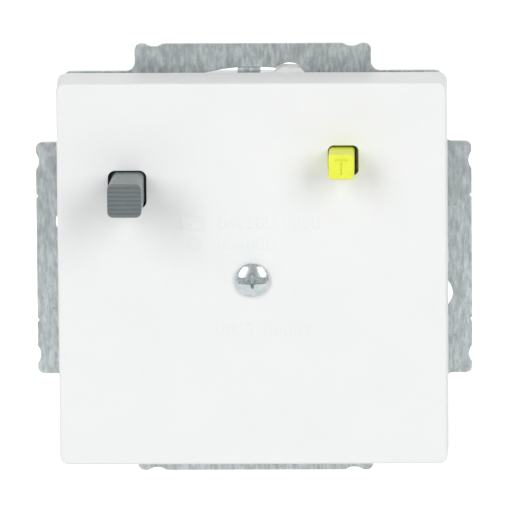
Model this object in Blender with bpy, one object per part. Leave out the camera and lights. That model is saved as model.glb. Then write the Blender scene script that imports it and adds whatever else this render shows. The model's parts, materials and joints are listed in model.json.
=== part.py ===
"""Flush-mounted residual current device, two poles, for a 60 mm wall box.

+X is right, +Z is up and +Y goes into the wall. The origin is the centre of the
support ring's rear face, which lies on the wall. Sizes are in millimetres and
become metres when a mesh is finished.
"""

from math import atan2, cos, pi, radians, sin

import bmesh
import bpy
from mathutils import Matrix, Vector

MM = 0.001
GAP = 0.3  # clearance between pieces that touch

# Support ring
RING_THICKNESS = 1.0
RING_SPAN = 71.0
RING_BODY = 62.0
RING_BODY_CORNER = 1.5
TAB_WIDTH = 38.5
TAB_CORNER = 1.1
TAB_FILLET = 1.4
SCALLOP_OFFSET = 16.1
SCALLOP_WIDTH = 2.9
SCALLOP_DEPTH = 0.5
NICK_OFFSET = 10.3
NICK_WIDTH = 0.7
NICK_DEPTH = 0.25
SCREW_CIRCLE = 60.0  # pitch circle of the wall box screws
KEYHOLE_RADIUS = 2.95
KEYHOLE_ANGLE = 11.5
SLOT_WIDTH = 3.3
SLOT_SWEEP = 24.0
LUG_WIDTH = 3.7
LUG_LENGTH = 1.6
LUG_THICKNESS = 0.9
LUG_SHIFT = -0.6
LUG_OVERLAP = 0.15  # how far the lug's foot reaches into the sheet

# Cover plate
PLATE_SIZE = 63.0
PLATE_FLARE = 0.15
PLATE_FRONT = 14.8  # distance of its front face from the wall
PLATE_DEPTH = 8.9
PLATE_WALL = 1.8
PLATE_CORNER = 1.4
PLATE_EDGE = 0.4

# Housing
BASE_SIZE = 48.0
BASE_CORNER = 15.0
BASE_WALL = 1.6
BASE_DEPTH = 37.0
DECK_MARGIN = 4.5  # from the cover plate's edge to the deck's
DECK_SIZE = PLATE_SIZE - 2 * DECK_MARGIN
DECK_CORNER = 4.0
DECK_WALL = 1.5
DECK_TO_PLATE = 0.7

# Centre screw
SCREW_Z = -0.8
SCREW_SHANK = 1.5
SCREW_HEAD = 2.75
SCREW_HEAD_HEIGHT = 1.3
SCREW_LENGTH = 9.0

# Reset button
RESET_X = -20.3
RESET_Z = 14.1
RESET_SIZE = 5.5
RESET_PROUD = 9.5
RESET_TRAVEL = 4.0
RESET_HOLE = RESET_SIZE + 0.75
RESET_HOLE_SHIFT = 0.17
RESET_HOLE_CORNER = 1.2
RESET_GROOVES = 7
STEM_X = -17.5
STEM_Z = 11.5
STEM_SIZE = 2.8
FLANGE_THICKNESS = 1.2
FLANGE_OVERLAP = 0.5
GROOVE_WIDTH = 0.24
GROOVE_DEPTH = 0.3

# Test button
TEST_X = 14.6
TEST_Z = 18.8
TEST_SIZE = 4.15
TEST_PROUD = 5.6
TEST_TRAVEL = 2.0
TEST_HOLE = TEST_SIZE + 0.8
TEST_HOLE_SHIFT = 0.25
TEST_HOLE_CORNER = 0.95
TEST_STEM_RADIUS = 1.1
LETTER_WIDTH = 2.0
LETTER_HEIGHT = 2.5
LETTER_STROKE = 0.35
LETTER_DEPTH = 0.2

# Springs: coil radius, wire radius and turns
RESET_SPRING = (2.6, 0.25, 5.0)
OPENING_SPRING = (1.8, 0.25, 6.0)
ARMATURE_SPRING = (1.0, 0.2, 4.0)

# Electronics board
BOARD_LEFT = 4.2
BOARD_RIGHT = DECK_SIZE / 2 - DECK_WALL - 0.6
BOARD_THICKNESS = 1.2
RESISTOR_RADIUS = 1.2
RESISTOR_LENGTH = 6.4
RESISTOR_END = 1.4  # length of each swollen end
RESISTOR_WAIST = 0.85  # the middle's share of the ends' radius
CAPACITOR_RADIUS = 2.4
CAPACITOR_HEIGHT = 6.5
RECTIFIER_SIDE = 5.0
RECTIFIER_HEIGHT = 2.2
VARISTOR_SIZE = 7.0
VARISTOR_THICKNESS = 2.5

# Contacts and terminals
TERMINAL_X = 7.5
TERMINAL_Z = 17.0
CAGE_SIZE = 6.6
CAGE_FRONT = 16.0
CAGE_LENGTH = 12.0
CONTACT_OUTER_Z = 9.0
CONTACT_INNER_Z = 3.2
CARRIER_FRONT = 4.0
CARRIER_THICKNESS = 3.0
STRIP = 0.8
PAD_RADIUS = 1.2
PAD_HEIGHT = 0.8
CONTACT_HALF_WIDTH = 1.5
CARRIER_MARGIN = 2.4  # from the carrier's middle lines to its edges
TERMINAL_SCREW_RADIUS = 1.5
TERMINAL_HEAD_RADIUS = 1.9
TERMINAL_HEAD_HEIGHT = 1.4

# Summation transformer
CORE_FRONT = 21.0
CORE_HEIGHT = 7.0
CORE_OUTER = 8.2
CORE_INNER = 5.2
CONDUCTOR_X = 1.7
CONDUCTOR_RADIUS = 0.9
CONDUCTOR_BEND = 1.6
WINDING_SPREAD = 55.0  # degrees to each side of the top
WINDING_THICKNESS = 0.7

# Trip relay
RELAY_X = 16.8
RELAY_FRONT = 17.0
RELAY_DEPTH = 13.5
RELAY_SPAN = 8.6
RELAY_WIDTH = 8.0
RELAY_SHEET = 1.5
RELAY_CORE_INSET = 1.5
BOBBIN_WALL = 0.6
BOBBIN_FLANGE = 0.8
BOBBIN_REACH = 1.4
ARMATURE_THICKNESS = 1.2
ARMATURE_OVERHANG = 1.8
MAGNET_WIDTH = 2.5
MAGNET_DEPTH = 3.3
TOUCH = 0.1  # gap between pieces that rest on each other

# Trip lever and latch lever
LEVER_Z = -6.0
LEVER_WIDTH = 3.0
LEVER_Y = 11.0
LEVER_THICKNESS = 1.8
LEVER_PIVOT_X = 1.0
PIN_RADIUS = 0.8
PIN_CLEARANCE = 0.08
HUB_RADIUS = 1.7
EAR_THICKNESS = 1.2
EAR_HALF = 1.6
LATCH_Y = 15.0
LATCH_THICKNESS = 1.6
HOOK_REACH = 2.0
HOOK_THICKNESS = 1.4

ROUND = 24  # sides of a fine circle
COARSE = 12  # sides of a small circle

# Places that follow from the sizes above
PLATE_REAR = PLATE_FRONT - PLATE_DEPTH
DECK_FRONT = PLATE_FRONT - PLATE_WALL - DECK_TO_PLATE
DECK_REAR = RING_THICKNESS + GAP
DECK_INSIDE = DECK_FRONT - DECK_WALL
BASE_HALF = BASE_SIZE / 2
BASE_INSIDE = BASE_HALF - BASE_WALL
CHASSIS_FRONT = 0.4
CHASSIS_THICKNESS = 1.4
BOARD_FRONT = -2.9
LEAF_Y = -5.6
LEAF_THICKNESS = 0.3
BRIDGE_FRONT = CARRIER_FRONT + CARRIER_THICKNESS + GAP
MOVING_PAD_END = BRIDGE_FRONT + STRIP + PAD_HEIGHT
FIXED_PAD_FRONT = MOVING_PAD_END + RESET_TRAVEL + 0.1
FIXED_STRIP_FRONT = FIXED_PAD_FRONT + PAD_HEIGHT
FLANGE_FRONT = -DECK_INSIDE + 0.4
KEYHOLE_Z = SCREW_CIRCLE / 2 * cos(radians(KEYHOLE_ANGLE))
NOSE_FOOT = min(KEYHOLE_Z - KEYHOLE_RADIUS / 2, DECK_SIZE / 2 - DECK_WALL)
BOARD_TOP = NOSE_FOOT - 1.5
LATCH_X = STEM_X + 3.9
LEAF_LENGTH = 11.0

# Screws of the housing
HOUSING_SCREWS = [(15.5, -15.5), (-15.5, -15.5)]
HOUSING_SCREW_RADIUS = 1.0
HOUSING_SCREW_HEAD = 2.0
BOSS_RADIUS = 2.6
BOSS_BORE = 1.3
PLATE_BOSS_RADIUS = 3.2
COVER_PAD_RADIUS = 3.2
COVER_PAD_FRONT = BASE_DEPTH - 2.8
HEAD_SEAT = BASE_DEPTH - 1.2
TUBE_REAR = BASE_DEPTH - BASE_WALL - GAP
WIRE_ENTRY = 4.6
WEB = 1.6
NOSE_WIDTH = 5.4
NOSE_SLOPE = 2.5  # from the keyhole's middle to the plug's edge in the slot
NOSE_END = 1.6  # how far the plug goes through the wall's plane
BASE_CORNER_X = BASE_HALF - BASE_CORNER  # middle of the base's corner arc
ACCESS_RADIUS = 3.0  # screwdriver holes in the base's sides
SEAT_RADIUS = 2.2
OPENING_SPRING_X = STEM_X - 0.5
OPENING_SPRING_Z = 1.0
OPENING_SPRING_LENGTH = 11.5


# ---------------------------------------------------------------- tools

def clear_scene():
    for obj in list(bpy.data.objects):
        bpy.data.objects.remove(obj, do_unlink=True)


def material(name, colour, roughness, metallic=0.0):
    """A Principled BSDF material of one colour."""
    made = bpy.data.materials.new(name)
    made.use_nodes = True
    shader = made.node_tree.nodes["Principled BSDF"]
    shader.inputs["Base Color"].default_value = (*colour, 1.0)
    shader.inputs["Roughness"].default_value = roughness
    shader.inputs["Metallic"].default_value = metallic
    made.diffuse_color = (*colour, 1.0)
    return made


def placed(u, v, w, axis):
    """The point at (u, v) across an axis and w along it."""
    if axis == "X":
        return Vector((w, u, v))
    if axis == "Y":
        return Vector((u, w, v))
    return Vector((u, v, w))


def prism(outline, start, end, axis="Y"):
    """A flat closed outline pushed along an axis from start to end."""
    bm = bmesh.new()
    face = bm.faces.new([bm.verts.new(placed(u, v, start, axis)) for u, v in outline])
    grown = bmesh.ops.extrude_face_region(bm, geom=[face])
    moved = [part for part in grown["geom"] if isinstance(part, bmesh.types.BMVert)]
    bmesh.ops.translate(bm, verts=moved, vec=placed(0, 0, end - start, axis))
    bmesh.ops.recalc_face_normals(bm, faces=bm.faces)
    return bm


def lofted(levels, axis="Y"):
    """A closed solid through outlines of the same number of points, each at its own level."""
    bm = bmesh.new()
    rings = [[bm.verts.new(placed(u, v, at, axis)) for u, v in outline] for outline, at in levels]
    for near, far in zip(rings, rings[1:]):
        for i in range(len(near)):
            j = (i + 1) % len(near)
            bm.faces.new((near[i], near[j], far[j], far[i]))
    bm.faces.new(rings[0])
    bm.faces.new(rings[-1])
    bmesh.ops.recalc_face_normals(bm, faces=bm.faces)
    return bm


def arc(centre, radius, start, end, steps):
    """Points on an arc, from start to end in degrees."""
    turns = [radians(start + (end - start) * i / steps) for i in range(steps + 1)]
    return [(centre[0] + radius * cos(t), centre[1] + radius * sin(t)) for t in turns]


def circle(radius, sides=COARSE, centre=(0.0, 0.0)):
    return arc(centre, radius, 0, 360 - 360 / sides, sides - 1)


def rectangle(width, height, corner=0.0, centre=(0.0, 0.0), steps=4):
    """A rectangle's outline, counter-clockwise, with round corners if asked."""
    half_w, half_h = width / 2 - corner, height / 2 - corner
    if corner == 0:
        points = [(half_w, -half_h), (half_w, half_h), (-half_w, half_h), (-half_w, -half_h)]
        return [(centre[0] + u, centre[1] + v) for u, v in points]
    points = []
    for quarter, (u, v) in enumerate([(1, 1), (-1, 1), (-1, -1), (1, -1)]):
        at = (centre[0] + u * half_w, centre[1] + v * half_h)
        points += arc(at, corner, 90 * quarter, 90 * quarter + 90, steps)
    return points


def box(low, high):
    """A block between two corners."""
    middle = [(a + b) / 2 for a, b in zip(low, high)]
    sides = [b - a for a, b in zip(low, high)]
    bm = bmesh.new()
    bmesh.ops.create_cube(bm, size=1.0, matrix=Matrix.Translation(middle) @ Matrix.Diagonal((*sides, 1)))
    return bm


def rod(radius, start, end, axis="Y", centre=(0.0, 0.0), sides=COARSE):
    return prism(circle(radius, sides, centre), start, end, axis)


def turned(profile, axis="Y", centre=(0.0, 0.0), steps=ROUND):
    """A profile of (radius, place along the axis) spun about that axis."""
    bm = bmesh.new()
    along = placed(0, 0, 1, axis)
    at = placed(centre[0], centre[1], 0, axis)
    verts = [bm.verts.new(at + placed(r, 0, w, axis)) for r, w in profile]
    edges = [bm.edges.new(pair) for pair in zip(verts, verts[1:])]
    if min(profile[0][0], profile[-1][0]) > 0:
        edges.append(bm.edges.new((verts[-1], verts[0])))
    bmesh.ops.spin(bm, geom=verts + edges, cent=at, axis=along, angle=2 * pi, steps=steps, use_merge=True)
    bmesh.ops.remove_doubles(bm, verts=bm.verts, dist=1e-4)
    bmesh.ops.recalc_face_normals(bm, faces=bm.faces)
    return bm


def swept(path, outline):
    """A tube of the given outline along a smooth path, with closed ends."""
    bm = bmesh.new()
    rings = []
    side = None
    for i, point in enumerate(path):
        ahead = Vector(path[min(i + 1, len(path) - 1)]) - Vector(path[max(i - 1, 0)])
        ahead.normalize()
        if side is None:
            side = ahead.orthogonal().normalized()
        side = (side - ahead * side.dot(ahead)).normalized()
        up = ahead.cross(side)
        rings.append([bm.verts.new(Vector(point) + side * u + up * v) for u, v in outline])
    for near, far in zip(rings, rings[1:]):
        for i in range(len(outline)):
            j = (i + 1) % len(outline)
            bm.faces.new((near[i], near[j], far[j], far[i]))
    bm.faces.new(rings[0])
    bm.faces.new(rings[-1])
    bmesh.ops.recalc_face_normals(bm, faces=bm.faces)
    return bm


def coil_path(radius, start, end, turns, centre, steps=12):
    """A helix about the Y axis through centre, with its last half turn of each end laid flat."""
    count = int(turns * steps)
    points = []
    for i in range(count + 1):
        turn = i / steps
        rise = min(max((turn - 0.5) / (turns - 1), 0), 1)
        angle = 2 * pi * turn
        x = centre[0] + radius * cos(angle)
        z = centre[1] + radius * sin(angle)
        points.append((x, start + (end - start) * rise, z))
    return points


def spring(radius, wire, turns, start, end, centre):
    """A compression spring along Y whose wire stays between start and end."""
    return swept(coil_path(radius, start + wire, end - wire, turns, centre), circle(wire, 5))


def spun(bm, degrees, axis="Y"):
    bmesh.ops.rotate(bm, verts=bm.verts, cent=(0, 0, 0), matrix=Matrix.Rotation(radians(degrees), 3, axis))
    return bm


def mesh_object(name, bm):
    """A scene object that holds the bmesh as it is."""
    mesh = bpy.data.meshes.new(name)
    bm.to_mesh(mesh)
    bm.free()
    obj = bpy.data.objects.new(name, mesh)
    bpy.context.scene.collection.objects.link(obj)
    return obj


def combined(first, others, operation):
    """The first bmesh joined to the others or cut by them, one after another."""
    target = mesh_object("work", first)
    for other in others:
        tool = mesh_object("tool", other)
        tool.hide_render = True
        tool.display_type = "WIRE"
        step = target.modifiers.new("Boolean", "BOOLEAN")
        step.operation = operation
        step.solver = "EXACT"
        step.object = tool
        bpy.context.view_layer.update()
        graph = bpy.context.evaluated_depsgraph_get()
        result = bmesh.new()
        result.from_mesh(target.evaluated_get(graph).to_mesh())
        target.modifiers.clear()
        result.to_mesh(target.data)
        result.free()
        bpy.data.objects.remove(tool, do_unlink=True)
    made = bmesh.new()
    made.from_mesh(target.data)
    bpy.data.objects.remove(target, do_unlink=True)
    return made


def union(first, *others):
    return combined(first, others, "UNION")


def cut(first, *others):
    return combined(first, others, "DIFFERENCE")


def add_part(name, bm, look, pivot=(0.0, 0.0, 0.0)):
    """A finished sub-part in metres, with its origin at its pivot."""
    bmesh.ops.translate(bm, verts=bm.verts, vec=-Vector(pivot))
    bmesh.ops.scale(bm, verts=bm.verts, vec=(MM, MM, MM))
    obj = mesh_object(name, bm)
    obj.location = Vector(pivot) * MM
    obj.data.materials.append(look)
    obj.data.shade_smooth()
    obj.data.set_sharp_from_angle(angle=radians(35))
    return obj


# ---------------------------------------------------------------- ring and cover

def quarter_outline(nicked):
    """One side of the ring's outer edge: a cut body corner, then a tab, right to left."""
    half, tip = TAB_WIDTH / 2, RING_SPAN / 2
    body = RING_BODY / 2
    sag_radius = ((SCALLOP_WIDTH / 2) ** 2 + SCALLOP_DEPTH**2) / (2 * SCALLOP_DEPTH)
    spread = 180 / pi * atan2(SCALLOP_WIDTH / 2, sag_radius - SCALLOP_DEPTH)
    points = arc((body - RING_BODY_CORNER, body - RING_BODY_CORNER), RING_BODY_CORNER, 0, 90, 3)
    points += arc((half + TAB_FILLET, body + TAB_FILLET), TAB_FILLET, -90, -180, 3)
    points += arc((half - TAB_CORNER, tip - TAB_CORNER), TAB_CORNER, 0, 90, 3)
    for side in (1, -1):
        middle = (side * SCALLOP_OFFSET, tip + sag_radius - SCALLOP_DEPTH)
        scallop = arc(middle, sag_radius, -90 + spread, -90 - spread, 4)
        points += scallop
        if side > 0 and nicked:
            for at in (NICK_OFFSET, -NICK_OFFSET):
                points += [(at + NICK_WIDTH / 2, tip), (at, tip - NICK_DEPTH), (at - NICK_WIDTH / 2, tip)]
    points += arc((-half + TAB_CORNER, tip - TAB_CORNER), TAB_CORNER, 90, 180, 3)
    points += arc((-half - TAB_FILLET, body + TAB_FILLET), TAB_FILLET, 0, -90, 3)
    return points


def turned_points(points, degrees):
    c, s = cos(radians(degrees)), sin(radians(degrees))
    return [(c * u - s * v, s * u + c * v) for u, v in points]


def slot_outline():
    """A curved slot on the screw circle, running back from the keyhole past the tab's middle."""
    radius = SCREW_CIRCLE / 2
    start, end = 90 - KEYHOLE_ANGLE, 90 - KEYHOLE_ANGLE + SLOT_SWEEP + KEYHOLE_ANGLE
    tip = (radius * cos(radians(end)), radius * sin(radians(end)))
    points = arc((0, 0), radius + SLOT_WIDTH / 2, start, end, 9)
    points += arc(tip, SLOT_WIDTH / 2, end, end + 180, 6)[1:-1]
    points += arc((0, 0), radius - SLOT_WIDTH / 2, end, start, 9)
    return points


def keyhole_centre():
    angle = radians(90 - KEYHOLE_ANGLE)
    return (SCREW_CIRCLE / 2 * cos(angle), SCREW_CIRCLE / 2 * sin(angle))


def build_support_ring(steel):
    outline = []
    for quarter in range(4):
        outline += turned_points(quarter_outline(quarter % 2 == 1), 90 * quarter)
    sheet = prism(outline, -RING_THICKNESS, 0.0)
    opening = BASE_SIZE + 2 * GAP
    cutters = [prism(rectangle(opening, opening, BASE_CORNER + GAP, steps=6), -5, 5)]
    for quarter in range(4):
        slot = prism(turned_points(slot_outline(), 90 * quarter), -5, 5)
        hole = prism(turned_points(circle(KEYHOLE_RADIUS, 20, keyhole_centre()), 90 * quarter), -5, 5)
        cutters += [slot, hole]
    # An earthing lug is bent forward at the top slot's outer edge.
    lug_top = SCREW_CIRCLE / 2 + SLOT_WIDTH / 2 + LUG_OVERLAP
    lug = box(
        (LUG_SHIFT - LUG_WIDTH / 2, -RING_THICKNESS - LUG_LENGTH, lug_top - LUG_THICKNESS),
        (LUG_SHIFT + LUG_WIDTH / 2, -RING_THICKNESS / 2, lug_top),
    )
    add_part("support_ring", union(cut(sheet, *cutters), lug), steel)


def build_cover_plate(white):
    corner = PLATE_CORNER
    rear_size = PLATE_SIZE + 2 * PLATE_FLARE
    edge = PLATE_EDGE
    shell = lofted([
        (rectangle(rear_size, rear_size, corner), -PLATE_REAR),
        (rectangle(PLATE_SIZE, PLATE_SIZE, corner), -PLATE_FRONT + edge),
        (rectangle(PLATE_SIZE - 0.6 * edge, PLATE_SIZE - 0.6 * edge, corner), -PLATE_FRONT + 0.3 * edge),
        (rectangle(PLATE_SIZE - 2 * edge, PLATE_SIZE - 2 * edge, corner - 0.3 * edge), -PLATE_FRONT),
    ])
    hollow = rectangle(PLATE_SIZE - 2 * PLATE_WALL, PLATE_SIZE - 2 * PLATE_WALL, corner / 2)
    depth = -PLATE_FRONT + PLATE_WALL
    reset = rectangle(RESET_HOLE, RESET_HOLE, RESET_HOLE_CORNER, (RESET_X + RESET_HOLE_SHIFT, RESET_Z))
    test = rectangle(TEST_HOLE, TEST_HOLE, TEST_HOLE_CORNER, (TEST_X + TEST_HOLE_SHIFT, TEST_Z))
    body = cut(
        shell,
        prism(hollow, depth, 0.0),
        prism(reset, -PLATE_FRONT - 5, depth + 2),
        prism(test, -PLATE_FRONT - 5, depth + 2),
        rod(SCREW_SHANK + GAP, -PLATE_FRONT - 5, depth + 2, centre=(0, SCREW_Z)),
    )
    add_part("cover_plate", body, white)


def build_plate_screw(zinc):
    seat = -PLATE_FRONT - 0.1
    top = seat - SCREW_HEAD_HEIGHT
    head = SCREW_HEAD
    profile = [(0, top), (head * 0.45, top + 0.08), (head * 0.78, top + 0.32), (head * 0.95, top + 0.7)]
    profile += [(head, seat - 0.25), (head * 0.97, seat), (SCREW_SHANK, seat)]
    profile += [(SCREW_SHANK, seat + SCREW_LENGTH - 0.6), (0.9, seat + SCREW_LENGTH), (0, seat + SCREW_LENGTH)]
    body = turned(profile, centre=(0, SCREW_Z), steps=ROUND)
    slot = box((-head - 1, top - 1, SCREW_Z - 0.4), (head + 1, top + 0.75, SCREW_Z + 0.4))
    cross = box((-0.4, top - 1, SCREW_Z - 1.6), (0.4, top + 1.0, SCREW_Z + 1.6))
    add_part("plate_screw", cut(body, slot, cross), zinc)


# ---------------------------------------------------------------- housing

def nose(turn):
    """The deck's tongue and its snap nose, a plug with a sloped top that goes through a keyhole."""
    u, v = keyhole_centre()
    top = max(v + 1.3, DECK_SIZE / 2 - DECK_WALL / 2)
    tongue = box((u - NOSE_WIDTH / 2, -DECK_REAR - 1.7, NOSE_FOOT), (u + NOSE_WIDTH / 2, -DECK_REAR, top))
    reach = KEYHOLE_RADIUS - GAP / 2
    outline = arc((u, v), reach, 20, 52, 3) + [(u + 1.2, v + 2.2), (u - 1.3, v + 2.3)]
    outline += [(u - NOSE_SLOPE, v + 1.3), (u - NOSE_SLOPE, v - 1.0)] + arc((u, v), reach, -140, -40, 5)
    plug = prism(outline, -DECK_REAR - 0.5, NOSE_END)
    return [spun(tongue, turn), spun(plug, turn)]


def build_housing_deck(plastic):
    shell = prism(rectangle(DECK_SIZE, DECK_SIZE, DECK_CORNER), -DECK_FRONT, -DECK_REAR)
    inside = DECK_SIZE - 2 * DECK_WALL
    hollow = prism(rectangle(inside, inside, DECK_CORNER - DECK_WALL), -DECK_INSIDE, 5)
    body = cut(shell, hollow)
    adds = [rod(PLATE_BOSS_RADIUS, -DECK_INSIDE - 0.5, -3.6, centre=(0, SCREW_Z), sides=16)]
    for x, z in HOUSING_SCREWS:
        adds.append(rod(BOSS_RADIUS, -DECK_INSIDE - 0.5, -DECK_REAR, centre=(x, z)))
    adds += nose(0) + nose(180)
    cuts = [rod(SCREW_SHANK + GAP, -DECK_FRONT - 5, -4.6, centre=(0, SCREW_Z))]
    for x, z in HOUSING_SCREWS:
        cuts.append(rod(BOSS_BORE, -DECK_INSIDE + 1.2, 5, centre=(x, z)))
    reset = rectangle(RESET_SIZE + 2 * GAP, RESET_SIZE + 2 * GAP, centre=(RESET_X, RESET_Z))
    test = rectangle(TEST_SIZE + 2 * GAP, TEST_SIZE + 2 * GAP, centre=(TEST_X, TEST_Z))
    cuts.append(prism(reset, -DECK_FRONT - 5, -DECK_INSIDE + 1))
    cuts.append(prism(test, -DECK_FRONT - 5, -DECK_INSIDE + 1))
    add_part("housing_deck", cut(union(body, *adds), *cuts), plastic)


def build_housing_base(plastic):
    """The tube behind the ring, with screw bosses and holes over the terminal screws."""
    outer = rectangle(BASE_SIZE, BASE_SIZE, BASE_CORNER, steps=6)
    inner = rectangle(2 * BASE_INSIDE, 2 * BASE_INSIDE, BASE_CORNER - BASE_WALL, steps=6)
    body = cut(prism(outer, -RING_THICKNESS, TUBE_REAR), prism(inner, -5, BASE_DEPTH))
    adds = []
    cuts = []
    for x, z in HOUSING_SCREWS:
        boss_rear = COVER_PAD_FRONT - GAP
        adds.append(rod(BOSS_RADIUS, -RING_THICKNESS, boss_rear, centre=(x, z)))
        rise = abs(z) - BASE_CORNER_X
        reach = BASE_CORNER_X + ((BASE_CORNER - BASE_WALL / 2) ** 2 - rise**2) ** 0.5
        wall_x = reach if x > 0 else -reach
        web = sorted((x, wall_x))
        web_front = CHASSIS_FRONT + CHASSIS_THICKNESS + GAP
        adds.append(box((web[0], web_front, z - WEB / 2), (web[1], boss_rear, z + WEB / 2)))
        cuts.append(rod(BOSS_BORE, -5, BASE_DEPTH + 5, centre=(x, z)))
    for x in (-TERMINAL_X, TERMINAL_X):
        for side in (-1, 1):
            access = circle(ACCESS_RADIUS, 16, (x, CAGE_FRONT + CAGE_LENGTH / 2))
            cuts.append(prism(access, side * 18, side * 30, "Z"))
    add_part("housing_base", cut(union(body, *adds), *cuts), plastic)


def build_rear_cover(plastic):
    """The rear wall, with the wire entries, the screw seats and the opening spring's post."""
    outer = rectangle(BASE_SIZE, BASE_SIZE, BASE_CORNER, steps=6)
    body = prism(outer, TUBE_REAR + GAP, BASE_DEPTH)
    seat = CARRIER_FRONT + CARRIER_THICKNESS + OPENING_SPRING_LENGTH
    seat_centre = (OPENING_SPRING_X, OPENING_SPRING_Z)
    adds = [rod(SEAT_RADIUS, seat, BASE_DEPTH - BASE_WALL / 2, centre=seat_centre)]
    cuts = []
    for x, z in HOUSING_SCREWS:
        adds.append(rod(COVER_PAD_RADIUS, COVER_PAD_FRONT, BASE_DEPTH - BASE_WALL / 2, centre=(x, z)))
        cuts.append(rod(BOSS_BORE, -5, BASE_DEPTH + 5, centre=(x, z)))
        cuts.append(rod(HOUSING_SCREW_HEAD + GAP, HEAD_SEAT, BASE_DEPTH + 5, centre=(x, z)))
    for x in (-TERMINAL_X, TERMINAL_X):
        for side in (-1, 1):
            entry = rectangle(WIRE_ENTRY, WIRE_ENTRY, 1.0, (x, side * (TERMINAL_Z - 0.5)), steps=2)
            cuts.append(prism(entry, BASE_DEPTH - 5, BASE_DEPTH + 5))
    add_part("rear_cover", cut(union(body, *adds), *cuts), plastic)


def build_housing_screws(zinc):
    for number, (x, z) in enumerate(HOUSING_SCREWS, 1):
        rear = BASE_DEPTH - 0.1
        head = HEAD_SEAT + 0.1
        shank = HOUSING_SCREW_RADIUS
        tip = -DECK_INSIDE + 2.0
        profile = [(0, tip), (shank, tip + 0.8), (shank, head), (HOUSING_SCREW_HEAD, head)]
        profile += [(HOUSING_SCREW_HEAD, rear - 0.3), (HOUSING_SCREW_HEAD - 0.5, rear), (0, rear)]
        body = turned(profile, centre=(x, z), steps=COARSE)
        slot = box((x - 3, rear - 0.6, z - 0.3), (x + 3, rear + 1, z + 0.3))
        add_part(f"housing_screw_{number}", cut(body, slot), zinc)


def build_chassis(plastic):
    size = 2 * (BASE_INSIDE - GAP)
    front, rear = CHASSIS_FRONT, CHASSIS_FRONT + CHASSIS_THICKNESS
    body = prism(rectangle(size, size, BASE_CORNER - BASE_WALL - GAP, steps=5), front, rear)
    stem_hole = rectangle(STEM_SIZE + 2 * GAP, STEM_SIZE + 2 * GAP, centre=(STEM_X, STEM_Z))
    cuts = [prism(stem_hole, front - 5, rear + 5)]
    for x, z in HOUSING_SCREWS:
        cuts.append(rod(BOSS_RADIUS + GAP, front - 5, rear + 5, centre=(x, z)))
    # Ears under the plate hold the pins of the trip lever and the latch lever.
    adds = []
    for x, y in ((LEVER_PIVOT_X, LEVER_Y), (LATCH_X, LATCH_Y)):
        for z in (LEVER_Z - LEVER_WIDTH / 2 - GAP - EAR_THICKNESS, LEVER_Z + LEVER_WIDTH / 2 + GAP):
            adds.append(box((x - EAR_HALF, rear - 0.5, z), (x + EAR_HALF, y + HUB_RADIUS, z + EAR_THICKNESS)))
            bore = rod(PIN_RADIUS + PIN_CLEARANCE, z - 0.5, z + EAR_THICKNESS + 0.5, "Z", (x, y), ROUND)
            cuts.append(bore)
    add_part("mechanism_chassis", cut(union(body, *adds), *cuts), plastic)


# ---------------------------------------------------------------- buttons

def build_reset_button(grey):
    front = -PLATE_FRONT - RESET_PROUD
    flange = FLANGE_FRONT
    half = RESET_SIZE / 2
    outline = rectangle(RESET_SIZE, RESET_SIZE, 0.9, (RESET_X, RESET_Z), 3)
    head = prism(outline, front, flange + FLANGE_OVERLAP)
    plate = box(
        (RESET_X - half - 0.65, flange, STEM_Z - 2.4),
        (STEM_X + 3.0, flange + FLANGE_THICKNESS, RESET_Z + half + 0.65),
    )
    stem_half = STEM_SIZE / 2
    stem = box(
        (STEM_X - stem_half, flange + FLANGE_OVERLAP, STEM_Z - stem_half),
        (STEM_X + stem_half, CARRIER_FRONT - TOUCH, STEM_Z + stem_half),
    )
    pitch = (RESET_SIZE - 0.6) / RESET_GROOVES
    rim = GROOVE_WIDTH / 2
    grooves = []
    for i in range(RESET_GROOVES):
        z = RESET_Z + (i - (RESET_GROOVES - 1) / 2) * pitch
        low = (RESET_X - half - 1, front - 1, z - rim)
        grooves.append(box(low, (RESET_X + half + 1, front + GROOVE_DEPTH, z + rim)))
    body = cut(union(head, plate, stem), *grooves)
    add_part("reset_button", body, grey, (RESET_X, front, RESET_Z))


def build_reset_spring(steel):
    start = FLANGE_FRONT + FLANGE_THICKNESS + TOUCH
    body = spring(*RESET_SPRING, start, CHASSIS_FRONT - TOUCH, (STEM_X, STEM_Z))
    add_part("reset_spring", body, steel)


def build_opening_spring(steel):
    """The spring under the carrier that throws the contacts open."""
    start = CARRIER_FRONT + CARRIER_THICKNESS + TOUCH
    end = start + OPENING_SPRING_LENGTH - 2 * TOUCH
    body = spring(*OPENING_SPRING, start, end, (OPENING_SPRING_X, OPENING_SPRING_Z))
    add_part("opening_spring", body, steel)


def build_test_button(yellow):
    front = -PLATE_FRONT - TEST_PROUD
    flange = FLANGE_FRONT
    outline = rectangle(TEST_SIZE, TEST_SIZE, 0.6, (TEST_X, TEST_Z), 3)
    head = prism(outline, front, flange + FLANGE_OVERLAP)
    plate = prism(rectangle(TEST_SIZE + 2, TEST_SIZE + 2, centre=(TEST_X, TEST_Z)), flange, flange + 1.0)
    stem = rod(TEST_STEM_RADIUS, flange + FLANGE_OVERLAP, LEAF_Y - GAP, centre=(TEST_X, TEST_Z))
    wide, thin = LETTER_WIDTH / 2, LETTER_STROKE / 2
    top, depth = TEST_Z + LETTER_HEIGHT / 2, front + LETTER_DEPTH
    bar = box((TEST_X - wide, front - 1, top - LETTER_STROKE), (TEST_X + wide, depth, top))
    post = box((TEST_X - thin, front - 1, top - LETTER_HEIGHT), (TEST_X + thin, depth, top - thin))
    body = cut(union(head, plate, stem), bar, post)
    add_part("test_button", body, yellow, (TEST_X, front, TEST_Z))


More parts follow.
